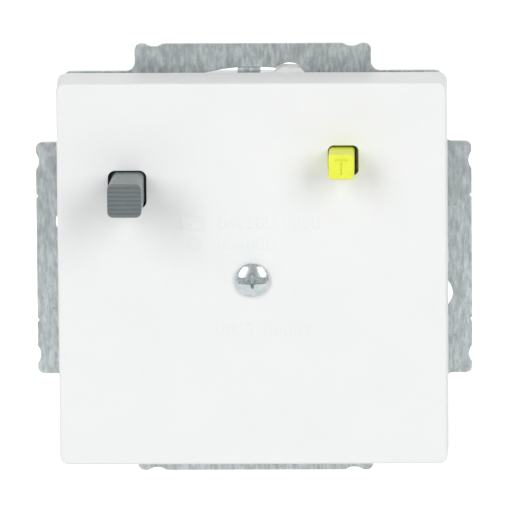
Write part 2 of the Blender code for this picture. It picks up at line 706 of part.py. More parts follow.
def build_test_contact(bronze):
    """A leaf from a foot on the board to under the test button's stem."""
    root_z = TEST_Z - LEAF_LENGTH
    leaf = box((TEST_X - 1.6, LEAF_Y, root_z), (TEST_X + 1.6, LEAF_Y + LEAF_THICKNESS, TEST_Z + 1.4))
    pad = rod(0.7, LEAF_Y + 0.1, LEAF_Y + LEAF_THICKNESS + 0.3, centre=(TEST_X, TEST_Z))
    add_part("test_contact_leaf", union(leaf, pad), bronze, (TEST_X, LEAF_Y + LEAF_THICKNESS / 2, root_z))
    top = LEAF_Y + LEAF_THICKNESS + GAP
    foot = box((TEST_X - 1.6, top, root_z - 1.5), (TEST_X + 1.6, BOARD_FRONT - 0.1, root_z + 1.0))
    add_part("test_contact_foot", foot, bronze)


def build_board(green, resistor_blue, black, amber):
    rear = BOARD_FRONT + BOARD_THICKNESS
    bottom = HOUSING_SCREWS[0][1] + BOSS_RADIUS + 2 * GAP
    board = box((BOARD_LEFT, BOARD_FRONT, bottom), (BOARD_RIGHT, rear, BOARD_TOP))
    add_part("circuit_board", board, green)
    front = BOARD_FRONT - GAP
    resistor = spun_barrel(RESISTOR_RADIUS, RESISTOR_LENGTH, (20.5, front - RESISTOR_RADIUS, 8.0))
    add_part("test_resistor", resistor, resistor_blue)
    capacitor = rod(CAPACITOR_RADIUS, front - CAPACITOR_HEIGHT, front, centre=(10.0, 2.0), sides=16)
    add_part("smoothing_capacitor", capacitor, black)
    square = rectangle(RECTIFIER_SIDE, RECTIFIER_SIDE, centre=(20.0, -2.0))
    add_part("rectifier", prism(square, front - RECTIFIER_HEIGHT, front), black)
    disc = rectangle(VARISTOR_SIZE, VARISTOR_SIZE, 3.0, (10.0, front - VARISTOR_SIZE / 2))
    varistor = prism(disc, -9.0, -9.0 + VARISTOR_THICKNESS, "Z")
    add_part("surge_varistor", varistor, amber)


def spun_barrel(radius, length, centre):
    """A resistor body along Z with swollen ends."""
    x, y, z = centre
    half, waist = length / 2, radius * RESISTOR_WAIST
    side = [(0, half), (radius, half - 0.2), (radius, half - RESISTOR_END), (waist, half - RESISTOR_END - 0.4)]
    profile = [(r, z - w) for r, w in side] + [(r, z + w) for r, w in reversed(side)]
    return turned(profile, "Z", (x, y), COARSE)


# ---------------------------------------------------------------- contacts and terminals

POLES = {"line": -TERMINAL_X, "neutral": TERMINAL_X}


def build_contact_carrier(plastic):
    rear = CARRIER_FRONT + CARRIER_THICKNESS
    middle_z = (CONTACT_OUTER_Z + CONTACT_INNER_Z) / 2
    left, margin = STEM_X - CARRIER_MARGIN, CARRIER_MARGIN
    bar = box((left, CARRIER_FRONT, middle_z - margin), (TERMINAL_X + 3.2, rear, middle_z + margin))
    pusher = box((left, CARRIER_FRONT, middle_z), (STEM_X + margin, rear, STEM_Z + margin))
    catch = box((left, CARRIER_FRONT, LEVER_Z - LEVER_WIDTH / 2), (STEM_X + 0.6, rear, middle_z))
    add_part("contact_carrier", union(bar, pusher, catch), plastic, (STEM_X, CARRIER_FRONT, STEM_Z))


def build_moving_contact(pole, copper):
    """A bridge that joins a pole's two fixed contacts when the carrier goes down."""
    x, half = POLES[pole], CONTACT_HALF_WIDTH
    strip = box(
        (x - half, BRIDGE_FRONT, CONTACT_INNER_Z - half),
        (x + half, BRIDGE_FRONT + STRIP, CONTACT_OUTER_Z + half),
    )
    pads = []
    for z in (CONTACT_INNER_Z, CONTACT_OUTER_Z):
        pads.append(rod(PAD_RADIUS, BRIDGE_FRONT + STRIP / 2, MOVING_PAD_END, centre=(x, z)))
    add_part(f"moving_contact_{pole}", union(strip, *pads), copper, (x, BRIDGE_FRONT, CONTACT_INNER_Z))


def build_fixed_contacts(pole, copper):
    """The strip from the supply terminal, and the strip that leads to the transformer."""
    x, half = POLES[pole], CONTACT_HALF_WIDTH
    front, rear = FIXED_STRIP_FRONT, FIXED_STRIP_FRONT + STRIP
    supply = box((x - half, front, CONTACT_OUTER_Z - half), (x + half, rear, TERMINAL_Z))
    pad = rod(PAD_RADIUS, FIXED_PAD_FRONT, front + STRIP / 2, centre=(x, CONTACT_OUTER_Z))
    add_part(f"fixed_contact_{pole}_supply", union(supply, pad), copper)
    side = 1 if x > 0 else -1
    reach = sorted((x + side * half, side * (CONDUCTOR_X - 1.0)))
    load = box((reach[0], front, -half), (reach[1], rear, CONTACT_INNER_Z + half))
    load_pad = rod(PAD_RADIUS, FIXED_PAD_FRONT, front + STRIP / 2, centre=(x, CONTACT_INNER_Z))
    add_part(f"fixed_contact_{pole}_load", union(load, load_pad), copper)


def build_primary_conductor(pole, copper):
    """The bare conductor from the load-side contact through the core to its terminal."""
    side = 1 if POLES[pole] > 0 else -1
    start = FIXED_STRIP_FRONT + STRIP + GAP
    turn_y = CORE_FRONT + CORE_HEIGHT + 3.0
    x, end_x = side * CONDUCTOR_X, side * TERMINAL_X
    bend = CONDUCTOR_BEND
    path = [(x, start, 0.0), (x, start + 4, 0.0), (x, turn_y - bend, 0.0)]
    for i in range(1, 4):
        angle = radians(90 * i / 4)
        path.append((x, turn_y - bend + bend * sin(angle), -bend + bend * cos(angle)))
    path.append((x, turn_y, -bend))
    end_z = -TERMINAL_Z + CAGE_SIZE / 2 + GAP
    path.append((x + (end_x - x) * 0.5, turn_y, (end_z - bend) / 2))
    path.append((end_x, turn_y - 2.5, end_z + 1.5))
    path.append((end_x, turn_y - 3.5, end_z))
    add_part(f"primary_conductor_{pole}", swept(path, circle(CONDUCTOR_RADIUS, 8)), copper)


def build_terminal(pole, role, brass, zinc):
    """A cage clamp and its screw, which is reached through the base's side."""
    x = POLES[pole]
    side = 1 if role == "supply" else -1
    half = CAGE_SIZE / 2
    front = CAGE_FRONT + (0.5 if side > 0 else 0.0)
    rear = CAGE_FRONT + CAGE_LENGTH
    z = side * TERMINAL_Z
    cage = box((x - half, front, z - half), (x + half, rear, z + half))
    mouth = box((x - half + 1.2, front + 1.5, z - half + 1.2), (x + half - 1.2, rear + 5, z + half - 1.6))
    middle = CAGE_FRONT + CAGE_LENGTH / 2
    shank = TERMINAL_SCREW_RADIUS
    thread = rod(shank + GAP, z, z + side * 10, "Z", (x, middle), COARSE)
    add_part(f"terminal_cage_{pole}_{role}", cut(cage, mouth, thread), brass)
    seat = z + side * (half + TOUCH)
    outer = seat + side * TERMINAL_HEAD_HEIGHT
    profile = [(0, outer), (TERMINAL_HEAD_RADIUS, outer), (TERMINAL_HEAD_RADIUS, seat), (shank, seat)]
    profile += [(shank, z + side * 0.6), (0, z + side * 0.6)]
    if side < 0:
        profile.reverse()
    screw = turned(profile, "Z", (x, middle), COARSE)
    slot = sorted((outer - side * 0.7, outer + side))
    groove = box((x - 3, middle - 0.3, slot[0]), (x + 3, middle + 0.3, slot[1]))
    add_part(f"terminal_screw_{pole}_{role}", cut(screw, groove), zinc)


def build_arc_barrier(plastic):
    """A wall between the two poles, behind the carrier's bar."""
    front = CARRIER_FRONT + CARRIER_THICKNESS + RESET_TRAVEL + 1.0
    body = box((-0.6, front, 1.0), (0.6, FIXED_STRIP_FRONT + 3.0, TERMINAL_Z + 4.0))
    add_part("arc_barrier", body, plastic)


# ---------------------------------------------------------------- transformer

def build_transformer(ferrite, copper_red):
    rear = CORE_FRONT + CORE_HEIGHT
    front = CORE_FRONT
    profile = [(CORE_INNER, front), (CORE_OUTER, front), (CORE_OUTER, rear), (CORE_INNER, rear)]
    add_part("transformer_core", turned(profile, steps=ROUND), ferrite)
    # The winding wraps a third of the core, with room to the core all round.
    spread, thick = WINDING_SPREAD, WINDING_THICKNESS
    inner, outer = CORE_INNER - GAP, CORE_OUTER + GAP
    sleeve_outline = arc((0, 0), outer + thick, 90 - spread, 90 + spread, 10)
    sleeve_outline += arc((0, 0), inner - thick, 90 + spread, 90 - spread, 10)
    sleeve = prism(sleeve_outline, front - GAP - thick, rear + GAP + thick)
    ring = [(inner, front - GAP), (outer, front - GAP), (outer, rear + GAP), (inner, rear + GAP)]
    add_part("secondary_winding", cut(sleeve, turned(ring, steps=ROUND)), copper_red)


# ---------------------------------------------------------------- relay and levers

def build_relay(steel, black, copper_red, magnet_grey, zinc):
    """A U-shaped yoke with a coil on its left arm, a magnet, and an armature across its ends."""
    left, right = RELAY_X - RELAY_SPAN / 2, RELAY_X + RELAY_SPAN / 2
    front, rear = RELAY_FRONT, RELAY_FRONT + RELAY_DEPTH
    half, sheet = RELAY_WIDTH / 2, RELAY_SHEET
    core_half = half - RELAY_CORE_INSET
    back = box((left, rear - sheet, -half), (right, rear, half))
    arms = [
        box((left, front, -core_half), (left + sheet, rear - sheet / 2, core_half)),
        box((right - sheet, front, -half), (right, rear - sheet / 2, half)),
    ]
    add_part("relay_yoke", union(back, *arms), steel)

    core_right = left + sheet
    bore = box((left - GAP, front, -core_half - GAP), (core_right + GAP, rear, core_half + GAP))
    flange_reach = BOBBIN_REACH + 1.1
    first, last = front + 1.0, rear - sheet - GAP - BOBBIN_FLANGE
    flanges = []
    for y in (first, last):
        low = (left - flange_reach, y, -half - BOBBIN_WALL)
        flanges.append(box(low, (core_right + flange_reach, y + BOBBIN_FLANGE, half + BOBBIN_WALL)))
    tube = GAP + BOBBIN_WALL
    sleeve = box(
        (left - tube, first + 0.2, -core_half - tube),
        (core_right + tube, last + BOBBIN_FLANGE - 0.2, core_half + tube),
    )
    add_part("relay_bobbin", cut(union(sleeve, *flanges), bore), black)

    wound_front, wound_rear = first + BOBBIN_FLANGE + TOUCH, last - TOUCH
    reach = BOBBIN_REACH + 0.6
    outer = box((left - reach, wound_front, -half - 0.2), (core_right + reach, wound_rear, half + 0.2))
    room = tube + TOUCH
    hole = box((left - room, front, -core_half - room), (core_right + room, rear, core_half + room))
    add_part("relay_winding", cut(outer, hole), copper_red)

    corner = (right - sheet - TOUCH, rear - sheet - TOUCH, half - 1)
    magnet = box((corner[0] - MAGNET_WIDTH, corner[1] - MAGNET_DEPTH, -corner[2]), corner)
    add_part("relay_magnet", magnet, magnet_grey)
    armature_rear = front - TOUCH
    low = (left - ARMATURE_OVERHANG, armature_rear - ARMATURE_THICKNESS, -half)
    add_part("relay_armature", box(low, (right, armature_rear, half)), steel, (right, armature_rear, 0.0))
    anchor = spring(*ARMATURE_SPRING, front + 0.2, front + 6.0, (RELAY_X + 1.1, 0.0))
    add_part("armature_spring", anchor, zinc)


def build_levers(plastic, steel):
    """The trip lever that the armature pushes, the latch lever, and their pins."""
    half_w = LEVER_WIDTH / 2
    low, high = LEVER_Z - half_w, LEVER_Z + half_w
    front, rear = LEVER_Y - LEVER_THICKNESS / 2, LEVER_Y + LEVER_THICKNESS / 2
    left_end, right_end = LATCH_X + 1.4, RELAY_X - RELAY_SPAN / 2 + 0.6
    toe_end = RELAY_FRONT - TOUCH - ARMATURE_THICKNESS - 0.2
    bore_radius = PIN_RADIUS + PIN_CLEARANCE
    bar = box((left_end, front, low), (right_end, rear, high))
    hub = rod(HUB_RADIUS, low, high, "Z", (LEVER_PIVOT_X, LEVER_Y), ROUND)
    toe = box((right_end - 1.6, LEVER_Y, low), (right_end, toe_end, high + 1.6))
    bore = rod(bore_radius, low - 1, high + 1, "Z", (LEVER_PIVOT_X, LEVER_Y), ROUND)
    add_part("trip_lever", cut(union(bar, hub, toe), bore), plastic, (LEVER_PIVOT_X, LEVER_Y, LEVER_Z))

    latch_top = CARRIER_FRONT + CARRIER_THICKNESS - 2.0
    thin = LATCH_THICKNESS / 2
    arm = box((LATCH_X - thin, latch_top, low), (LATCH_X + thin, LATCH_Y, high))
    hook = box((LATCH_X - HOOK_REACH, latch_top, low), (LATCH_X, latch_top + HOOK_THICKNESS, high))
    latch_hub = rod(HUB_RADIUS, low, high, "Z", (LATCH_X, LATCH_Y), ROUND)
    latch_bore = rod(bore_radius, low - 1, high + 1, "Z", (LATCH_X, LATCH_Y), ROUND)
    latch = cut(union(arm, hook, latch_hub), latch_bore)
    add_part("latch_lever", latch, plastic, (LATCH_X, LATCH_Y, LEVER_Z))

    reach = half_w + GAP + EAR_THICKNESS
    for name, x, y in (("trip_lever_pin", LEVER_PIVOT_X, LEVER_Y), ("latch_lever_pin", LATCH_X, LATCH_Y)):
        pin = rod(PIN_RADIUS, LEVER_Z - reach, LEVER_Z + reach, "Z", (x, y), ROUND)
        add_part(name, pin, steel)


# ---------------------------------------------------------------- the whole device

def build_all():
    galvanised = material("galvanised_steel", (0.50, 0.53, 0.54), 0.45, 0.9)
    zinc = material("zinc_plated_screw", (0.68, 0.70, 0.74), 0.25, 1.0)
    spring_steel = material("spring_steel", (0.55, 0.55, 0.56), 0.3, 1.0)
    soft_iron = material("soft_iron", (0.42, 0.42, 0.43), 0.45, 0.9)
    white = material("cover_white", (0.88, 0.88, 0.88), 0.35)
    shell_white = material("housing_white", (0.80, 0.81, 0.81), 0.45)
    grey = material("reset_grey", (0.22, 0.25, 0.25), 0.5)
    yellow = material("test_yellow", (0.86, 0.88, 0.06), 0.4)
    black = material("black_plastic", (0.03, 0.03, 0.035), 0.5)
    dark_grey = material("mechanism_grey", (0.18, 0.18, 0.19), 0.5)
    copper = material("contact_copper", (0.78, 0.42, 0.25), 0.3, 1.0)
    brass = material("terminal_brass", (0.78, 0.62, 0.30), 0.35, 1.0)
    bronze = material("leaf_bronze", (0.75, 0.50, 0.30), 0.35, 1.0)
    enamel = material("winding_enamel", (0.50, 0.14, 0.05), 0.3, 0.4)
    ferrite = material("core_tape", (0.12, 0.13, 0.15), 0.6)
    board_green = material("board_green", (0.03, 0.22, 0.08), 0.4)
    resistor_blue = material("resistor_blue", (0.12, 0.30, 0.50), 0.4)
    amber = material("varistor_amber", (0.70, 0.35, 0.05), 0.4)

    build_support_ring(galvanised)
    build_cover_plate(white)
    build_plate_screw(zinc)
    build_housing_deck(shell_white)
    build_housing_base(shell_white)
    build_rear_cover(shell_white)
    build_housing_screws(zinc)
    build_chassis(dark_grey)
    build_reset_button(grey)
    build_reset_spring(spring_steel)
    build_test_button(yellow)
    build_test_contact(bronze)
    build_board(board_green, resistor_blue, black, amber)
    build_contact_carrier(black)
    build_opening_spring(spring_steel)
    for pole in POLES:
        build_moving_contact(pole, copper)
        build_fixed_contacts(pole, copper)
        build_primary_conductor(pole, copper)
        for role in ("supply", "load"):
            build_terminal(pole, role, brass, zinc)
    build_arc_barrier(shell_white)
    build_transformer(ferrite, enamel)
    build_relay(soft_iron, black, enamel, dark_grey, spring_steel)
    build_levers(dark_grey, spring_steel)


clear_scene()
build_all()
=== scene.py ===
"""The looks of a flush-mounted residual current device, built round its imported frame.

Lengths in the dataclasses are in millimetres and are turned to metres when a mesh is placed.
"""

import json
import logging
from dataclasses import dataclass
from enum import Enum
from math import cos, pi, radians, sin
from typing import Callable, Iterable, Sequence

import bmesh
import bpy
from mathutils import Matrix, Vector

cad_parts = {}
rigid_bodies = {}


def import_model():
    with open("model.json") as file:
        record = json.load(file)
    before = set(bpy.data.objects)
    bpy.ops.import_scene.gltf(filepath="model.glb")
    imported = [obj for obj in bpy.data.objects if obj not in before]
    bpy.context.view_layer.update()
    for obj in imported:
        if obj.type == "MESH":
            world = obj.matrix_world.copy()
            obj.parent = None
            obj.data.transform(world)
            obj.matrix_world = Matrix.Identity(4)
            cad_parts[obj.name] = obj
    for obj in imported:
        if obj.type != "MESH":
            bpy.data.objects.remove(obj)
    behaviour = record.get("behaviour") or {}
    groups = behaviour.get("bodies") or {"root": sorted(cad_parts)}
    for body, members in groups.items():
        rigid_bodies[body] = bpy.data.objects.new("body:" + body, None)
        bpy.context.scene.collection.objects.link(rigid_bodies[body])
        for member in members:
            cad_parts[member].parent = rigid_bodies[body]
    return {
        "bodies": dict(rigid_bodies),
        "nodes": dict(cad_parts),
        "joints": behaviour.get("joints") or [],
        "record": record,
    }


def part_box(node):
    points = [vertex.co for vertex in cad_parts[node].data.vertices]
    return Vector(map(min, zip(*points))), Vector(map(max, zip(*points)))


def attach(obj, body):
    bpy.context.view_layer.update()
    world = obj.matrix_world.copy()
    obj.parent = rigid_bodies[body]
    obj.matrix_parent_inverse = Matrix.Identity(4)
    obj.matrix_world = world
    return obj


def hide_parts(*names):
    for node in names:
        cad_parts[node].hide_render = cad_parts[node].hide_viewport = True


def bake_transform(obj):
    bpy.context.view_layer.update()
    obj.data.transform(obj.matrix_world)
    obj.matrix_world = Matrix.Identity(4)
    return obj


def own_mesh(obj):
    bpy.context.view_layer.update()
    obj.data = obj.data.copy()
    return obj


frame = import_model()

LOG = logging.getLogger("residual_current_device")
MM = 0.001
Colour = tuple[float, float, float]
Point = tuple[float, float, float]
Pair = tuple[float, float]
Shape = bmesh.types.BMesh
Tree = bpy.types.NodeTree
Socket = bpy.types.NodeSocket
TERMINAL_OFFSET = 7.5
TERMINAL_LEVEL = 16.5
CONTACT_LEVELS = {"load": 3.2, "supply": 9.0}
CORE_BORE = 5.2
BUTTON_PLACES: dict[str, Pair] = {"reset_button": (-20.3, 14.1), "test_button": (14.6, 18.8)}
FLANGE_FRONT = -10.4
WELD = 1e-5
NEAR = 0.01


class Axis(Enum):
    """The row's axes, as unit vectors."""

    X = (1.0, 0.0, 0.0)
    Y = (0.0, 1.0, 0.0)
    Z = (0.0, 0.0, 1.0)


class Operation(Enum):
    """What a Boolean does with its tool."""

    JOIN = "UNION"
    CUT = "DIFFERENCE"


# ---------------------------------------------------------------- node groups

class GroupMaker:
    """Builds shader node groups once and places them in materials."""

    def __init__(self) -> None:
        """Starts with no group made."""
        self.made: dict[str, Tree] = {}

    def start(self, name: str, inputs: dict[str, float], outputs: dict[str, str]) -> Tree:
        """Makes an empty group with its sockets.

        Args:
            name: The group's name.
            inputs: Each float input's name and default.
            outputs: Each output's name and socket type.

        Returns:
            The new node tree, with its input and output nodes.
        """
        tree = bpy.data.node_groups.new(name, "ShaderNodeTree")
        for label, value in inputs.items():
            socket = tree.interface.new_socket(label, in_out="INPUT", socket_type="NodeSocketFloat")
            socket.default_value = value
        for label, kind in outputs.items():
            tree.interface.new_socket(label, in_out="OUTPUT", socket_type=kind)
        tree.nodes.new("NodeGroupInput").name = "in"
        tree.nodes.new("NodeGroupOutput").name = "out"
        self.made[name] = tree
        return tree

    def grain(self) -> Tree:
        """Fine and coarse noise of a moulded or rolled surface, as a height and a mask.

        Returns:
            The group's node tree.
        """
        if "surface_grain" in self.made:
            return self.made["surface_grain"]
        tree = self.start(
            "surface_grain",
            {"Fine Scale": 4000.0, "Coarse Scale": 300.0, "Coarse Share": 0.4, "Stretch": 1.0},
            {"Height": "NodeSocketFloat", "Mask": "NodeSocketFloat"},
        )
        nodes, links = tree.nodes, tree.links
        where = nodes.new("ShaderNodeTexCoord")
        squeeze = nodes.new("ShaderNodeCombineXYZ")
        squeeze.inputs["X"].default_value = 1.0
        squeeze.inputs["Y"].default_value = 1.0
        links.new(nodes["in"].outputs["Stretch"], squeeze.inputs["Z"])
        scaled = nodes.new("ShaderNodeVectorMath")
        scaled.operation = "MULTIPLY"
        links.new(where.outputs["Object"], scaled.inputs[0])
        links.new(squeeze.outputs["Vector"], scaled.inputs[1])
        noises = []
        for label, detail in (("Fine Scale", 3.0), ("Coarse Scale", 4.0)):
            noise = nodes.new("ShaderNodeTexNoise")
            noise.inputs["Detail"].default_value = detail
            noise.inputs["Roughness"].default_value = 0.6
            links.new(scaled.outputs["Vector"], noise.inputs["Vector"])
            links.new(nodes["in"].outputs[label], noise.inputs["Scale"])
            noises.append(noise)
        mix = nodes.new("ShaderNodeMix")
        mix.data_type = "FLOAT"
        links.new(nodes["in"].outputs["Coarse Share"], mix.inputs["Factor"])
        links.new(noises[0].outputs["Fac"], mix.inputs["A"])
        links.new(noises[1].outputs["Fac"], mix.inputs["B"])
        links.new(mix.outputs["Result"], nodes["out"].inputs["Height"])
        links.new(noises[1].outputs["Fac"], nodes["out"].inputs["Mask"])
        return tree

    def speckle(self) -> Tree:
        """Sparse small spots, as a mask that is one on a spot and nought between them.

        Returns:
            The group's node tree.
        """
        if "speckle" in self.made:
            return self.made["speckle"]
        tree = self.start(
            "speckle", {"Scale": 900.0, "Amount": 0.2}, {"Mask": "NodeSocketFloat"}
        )
        nodes, links = tree.nodes, tree.links
        where = nodes.new("ShaderNodeTexCoord")
        cells = nodes.new("ShaderNodeTexVoronoi")
        cells.inputs["Randomness"].default_value = 1.0
        links.new(where.outputs["Object"], cells.inputs["Vector"])
        links.new(nodes["in"].outputs["Scale"], cells.inputs["Scale"])
        spot = nodes.new("ShaderNodeMath")
        spot.operation = "LESS_THAN"
        links.new(cells.outputs["Distance"], spot.inputs[0])
        links.new(nodes["in"].outputs["Amount"], spot.inputs[1])
        links.new(spot.outputs["Value"], nodes["out"].inputs["Mask"])
        return tree

    def streaks(self) -> Tree:
        """Long thin marks along Z, as rolled or drawn sheet shows, as a mask.

        Returns:
            The group's node tree.
        """
        if "streaks" in self.made:
            return self.made["streaks"]
        tree = self.start(
            "streaks",
            {"Scale": 1500.0, "Length": 0.12, "Start": 0.5, "End": 0.7},
            {"Mask": "NodeSocketFloat"},
        )
        nodes, links = tree.nodes, tree.links
        where = nodes.new("ShaderNodeTexCoord")
        squeeze = nodes.new("ShaderNodeCombineXYZ")
        squeeze.inputs["X"].default_value = 1.0
        squeeze.inputs["Y"].default_value = 1.0
        links.new(nodes["in"].outputs["Length"], squeeze.inputs["Z"])
        scaled = nodes.new("ShaderNodeVectorMath")
        scaled.operation = "MULTIPLY"
        links.new(where.outputs["Object"], scaled.inputs[0])
        links.new(squeeze.outputs["Vector"], scaled.inputs[1])
        noise = nodes.new("ShaderNodeTexNoise")
        noise.inputs["Detail"].default_value = 3.0
        noise.inputs["Roughness"].default_value = 0.65
        links.new(scaled.outputs["Vector"], noise.inputs["Vector"])
        links.new(nodes["in"].outputs["Scale"], noise.inputs["Scale"])
        level = nodes.new("ShaderNodeMapRange")
        links.new(noise.outputs["Fac"], level.inputs["Value"])
        links.new(nodes["in"].outputs["Start"], level.inputs["From Min"])
        links.new(nodes["in"].outputs["End"], level.inputs["From Max"])
        links.new(level.outputs["Result"], nodes["out"].inputs["Mask"])
        return tree


GROUPS = GroupMaker()


def place_group(tree: Tree, group: Tree, **values: float) -> bpy.types.Node:
    """Adds a group node to a material's tree and sets its inputs.

    Args:
        tree: The material's node tree.
        group: The group to place.
        **values: Input values by name, with underscores for spaces.

    Returns:
        The group node.
    """
    node = tree.nodes.new("ShaderNodeGroup")
    node.node_tree = group
    for label, value in values.items():
        node.inputs[label.replace("_", " ")].default_value = value
    return node


# ---------------------------------------------------------------- finishes

MADE: dict[str, bpy.types.Material] = {}


@dataclass(frozen=True)
class Finish:
    """A moulded or metal surface with two close tones, grain and uneven gloss.

    The grain's scales are in features per metre and its depth is in millimetres.
    """

    name: str
    colour: Colour
    shade: Colour
    roughness: float = 0.4
    roughness_spread: float = 0.1
    metallic: float = 0.0
    specular: float = 0.5
    coat: float = 0.0
    fine_scale: float = 3000.0
    coarse_scale: float = 250.0
    coarse_share: float = 0.4
    stretch: float = 1.0
    depth: float = 0.02
    bump: float = 0.3
    streak: float = 0.0
    streak_scale: float = 1500.0
    streak_length: float = 0.12
    streak_colour: Colour = (0.2, 0.2, 0.2)
    spots: float = 0.0
    spot_scale: float = 900.0
    spot_colour: Colour = (0.2, 0.2, 0.2)
    # painted shade: the share of the colour left at the top of the Z ramp, 1 for none
    top_shade_factor: float = 1.0
    shade_top_z: float = 0.035
    shade_clear_z: float = -0.012
    anisotropic: float = 0.0
    subsurface: float = 0.0

    def build(self) -> bpy.types.Material:
        """Makes the material, or returns it if it is already made.

        Returns:
            The material.
        """
        if self.name in MADE:
            return MADE[self.name]
        material = MADE[self.name] = bpy.data.materials.new(self.name)
        material.use_nodes = True
        tree = material.node_tree
        shader = tree.nodes["Principled BSDF"]
        shader.inputs["Metallic"].default_value = self.metallic
        shader.inputs["Specular IOR Level"].default_value = self.specular
        shader.inputs["Coat Weight"].default_value = self.coat
        shader.inputs["Coat Roughness"].default_value = 0.15
        shader.inputs["Anisotropic"].default_value = self.anisotropic
        if self.subsurface > 0:
            shader.inputs["Subsurface Weight"].default_value = self.subsurface
            shader.inputs["Subsurface Scale"].default_value = 0.0008
        grain = place_group(
            tree, GROUPS.grain(), Fine_Scale=self.fine_scale, Coarse_Scale=self.coarse_scale,
            Coarse_Share=self.coarse_share, Stretch=self.stretch,
        )
        colour = self.mixed(tree, grain.outputs["Mask"], self.shade, self.colour, 0.38, 0.62)
        if self.streak > 0:
            marks = place_group(
                tree, GROUPS.streaks(), Scale=self.streak_scale, Length=self.streak_length,
                Start=0.45, End=0.45 + 0.3 / self.streak,
            )
            colour = self.over(tree, colour, marks.outputs["Mask"], self.streak_colour)
        if self.spots > 0:
            marks = place_group(tree, GROUPS.speckle(), Scale=self.spot_scale, Amount=self.spots)
            colour = self.over(tree, colour, marks.outputs["Mask"], self.spot_colour)
        # painted shade: the colour darker towards the top
        if self.top_shade_factor < 1:
            colour = self.shaded_towards_top(tree, colour)
        tree.links.new(colour, shader.inputs["Base Color"])
        gloss = tree.nodes.new("ShaderNodeMapRange")
        gloss.inputs["To Min"].default_value = self.roughness - self.roughness_spread / 2
        gloss.inputs["To Max"].default_value = self.roughness + self.roughness_spread / 2
        gloss.inputs["From Min"].default_value = 0.3
        gloss.inputs["From Max"].default_value = 0.7
        tree.links.new(grain.outputs["Mask"], gloss.inputs["Value"])
        tree.links.new(gloss.outputs["Result"], shader.inputs["Roughness"])
        relief = tree.nodes.new("ShaderNodeBump")
        relief.inputs["Strength"].default_value = self.bump
        relief.inputs["Distance"].default_value = self.depth * MM
        tree.links.new(grain.outputs["Height"], relief.inputs["Height"])
        tree.links.new(relief.outputs["Normal"], shader.inputs["Normal"])
        return material

    def shaded_towards_top(self, tree: Tree, below: Socket) -> Socket:
        """Painted shade: the colour made darker towards the top, from one level on the Z axis to another, in
        place of light that falls less on the top.

        Args:
            tree: The material's node tree.
            below: The colour to darken.

        Returns:
            The darkened colour's output.
        """
        where = tree.nodes.new("ShaderNodeTexCoord")
        split = tree.nodes.new("ShaderNodeSeparateXYZ")
        tree.links.new(where.outputs["Object"], split.inputs["Vector"])
        level = tree.nodes.new("ShaderNodeMapRange")
        level.inputs["From Min"].default_value = self.shade_top_z
        level.inputs["From Max"].default_value = self.shade_clear_z
        level.inputs["To Min"].default_value = self.top_shade_factor
        level.inputs["To Max"].default_value = 1.0
        tree.links.new(split.outputs["Z"], level.inputs["Value"])
        scaled = tree.nodes.new("ShaderNodeVectorMath")
        scaled.operation = "SCALE"
        tree.links.new(below, scaled.inputs[0])
        tree.links.new(level.outputs["Result"], scaled.inputs["Scale"])
        return scaled.outputs["Vector"]

    @staticmethod
    def over(
        tree: Tree, below: Socket, mask: Socket, colour: Colour,
    ) -> Socket:
        """One colour laid over another where a mask shows it.

        Args:
            tree: The material's node tree.
            below: The colour underneath.
            mask: Where the colour on top shows.
            colour: The colour on top.

        Returns:
            The mixed colour's output.
        """
        mix = tree.nodes.new("ShaderNodeMix")
        mix.data_type = "RGBA"
        mix.inputs[7].default_value = (*colour, 1.0)
        tree.links.new(mask, mix.inputs[0])
        tree.links.new(below, mix.inputs[6])
        return mix.outputs[2]

    @staticmethod
    def mixed(
        tree: Tree, mask: Socket, low: Colour, high: Colour, start: float, end: float,
    ) -> Socket:
        """A ramp between two colours that follows a mask.

        Args:
            tree: The material's node tree.
            mask: The output socket to follow.
            low: The colour where the mask is under start.
            high: The colour where the mask is over end.
            start: Where the ramp begins.
            end: Where the ramp ends.

        Returns:
            The ramp's colour output.
        """
        ramp = tree.nodes.new("ShaderNodeValToRGB")
        ramp.color_ramp.elements[0].position = start
        ramp.color_ramp.elements[1].position = end
        ramp.color_ramp.elements[0].color = (*low, 1.0)
        ramp.color_ramp.elements[1].color = (*high, 1.0)
        tree.links.new(mask, ramp.inputs["Fac"])
        return ramp.outputs["Color"]


COVER_WHITE = Finish(
    "cover_gloss_white", (0.80, 0.81, 0.81), (0.79, 0.80, 0.80), roughness=0.48, roughness_spread=0.06,
    specular=0.4, fine_scale=2600, coarse_scale=90, coarse_share=0.25, depth=0.01, bump=0.15,
    subsurface=0.05,
)
HOUSING_WHITE = Finish(
    "housing_white", (0.74, 0.75, 0.75), (0.70, 0.71, 0.71), roughness=0.48, roughness_spread=0.12,
    fine_scale=3200, coarse_scale=120, depth=0.02, bump=0.35,
)
RESET_GREY = Finish(
    "reset_plastic_grey", (0.165, 0.19, 0.193), (0.15, 0.175, 0.177), roughness=0.3, roughness_spread=0.06,
    fine_scale=4200, coarse_scale=500, depth=0.01, bump=0.05,
)
TEST_YELLOW = Finish(
    "test_plastic_yellow", (0.80, 0.84, 0.07), (0.77, 0.81, 0.06), roughness=0.34, roughness_spread=0.06,
    fine_scale=4200, coarse_scale=500, depth=0.01, bump=0.05, subsurface=0.1,
)
# painted shade: the sheet's colour is made darker towards the top, in place of light falling less on the
# upper tab
GALVANISED = Finish(
    "galvanised_sheet", (0.84, 0.90, 0.905), (0.64, 0.695, 0.70), roughness=0.46, roughness_spread=0.2,
    metallic=0.8, fine_scale=3000, coarse_scale=1500, coarse_share=0.6, stretch=0.45, depth=0.02, bump=0.25,
    streak=1.0, streak_scale=2400, streak_length=0.2, streak_colour=(0.52, 0.57, 0.575),
    spots=0.07, spot_scale=420, spot_colour=(0.50, 0.54, 0.545), top_shade_factor=0.76, anisotropic=0.2,
)
BRIGHT_ZINC = Finish(
    "bright_zinc", (0.74, 0.79, 0.80), (0.62, 0.68, 0.695), roughness=0.26, roughness_spread=0.1,
    metallic=1.0, fine_scale=5000, coarse_scale=900, depth=0.01, bump=0.2,
)
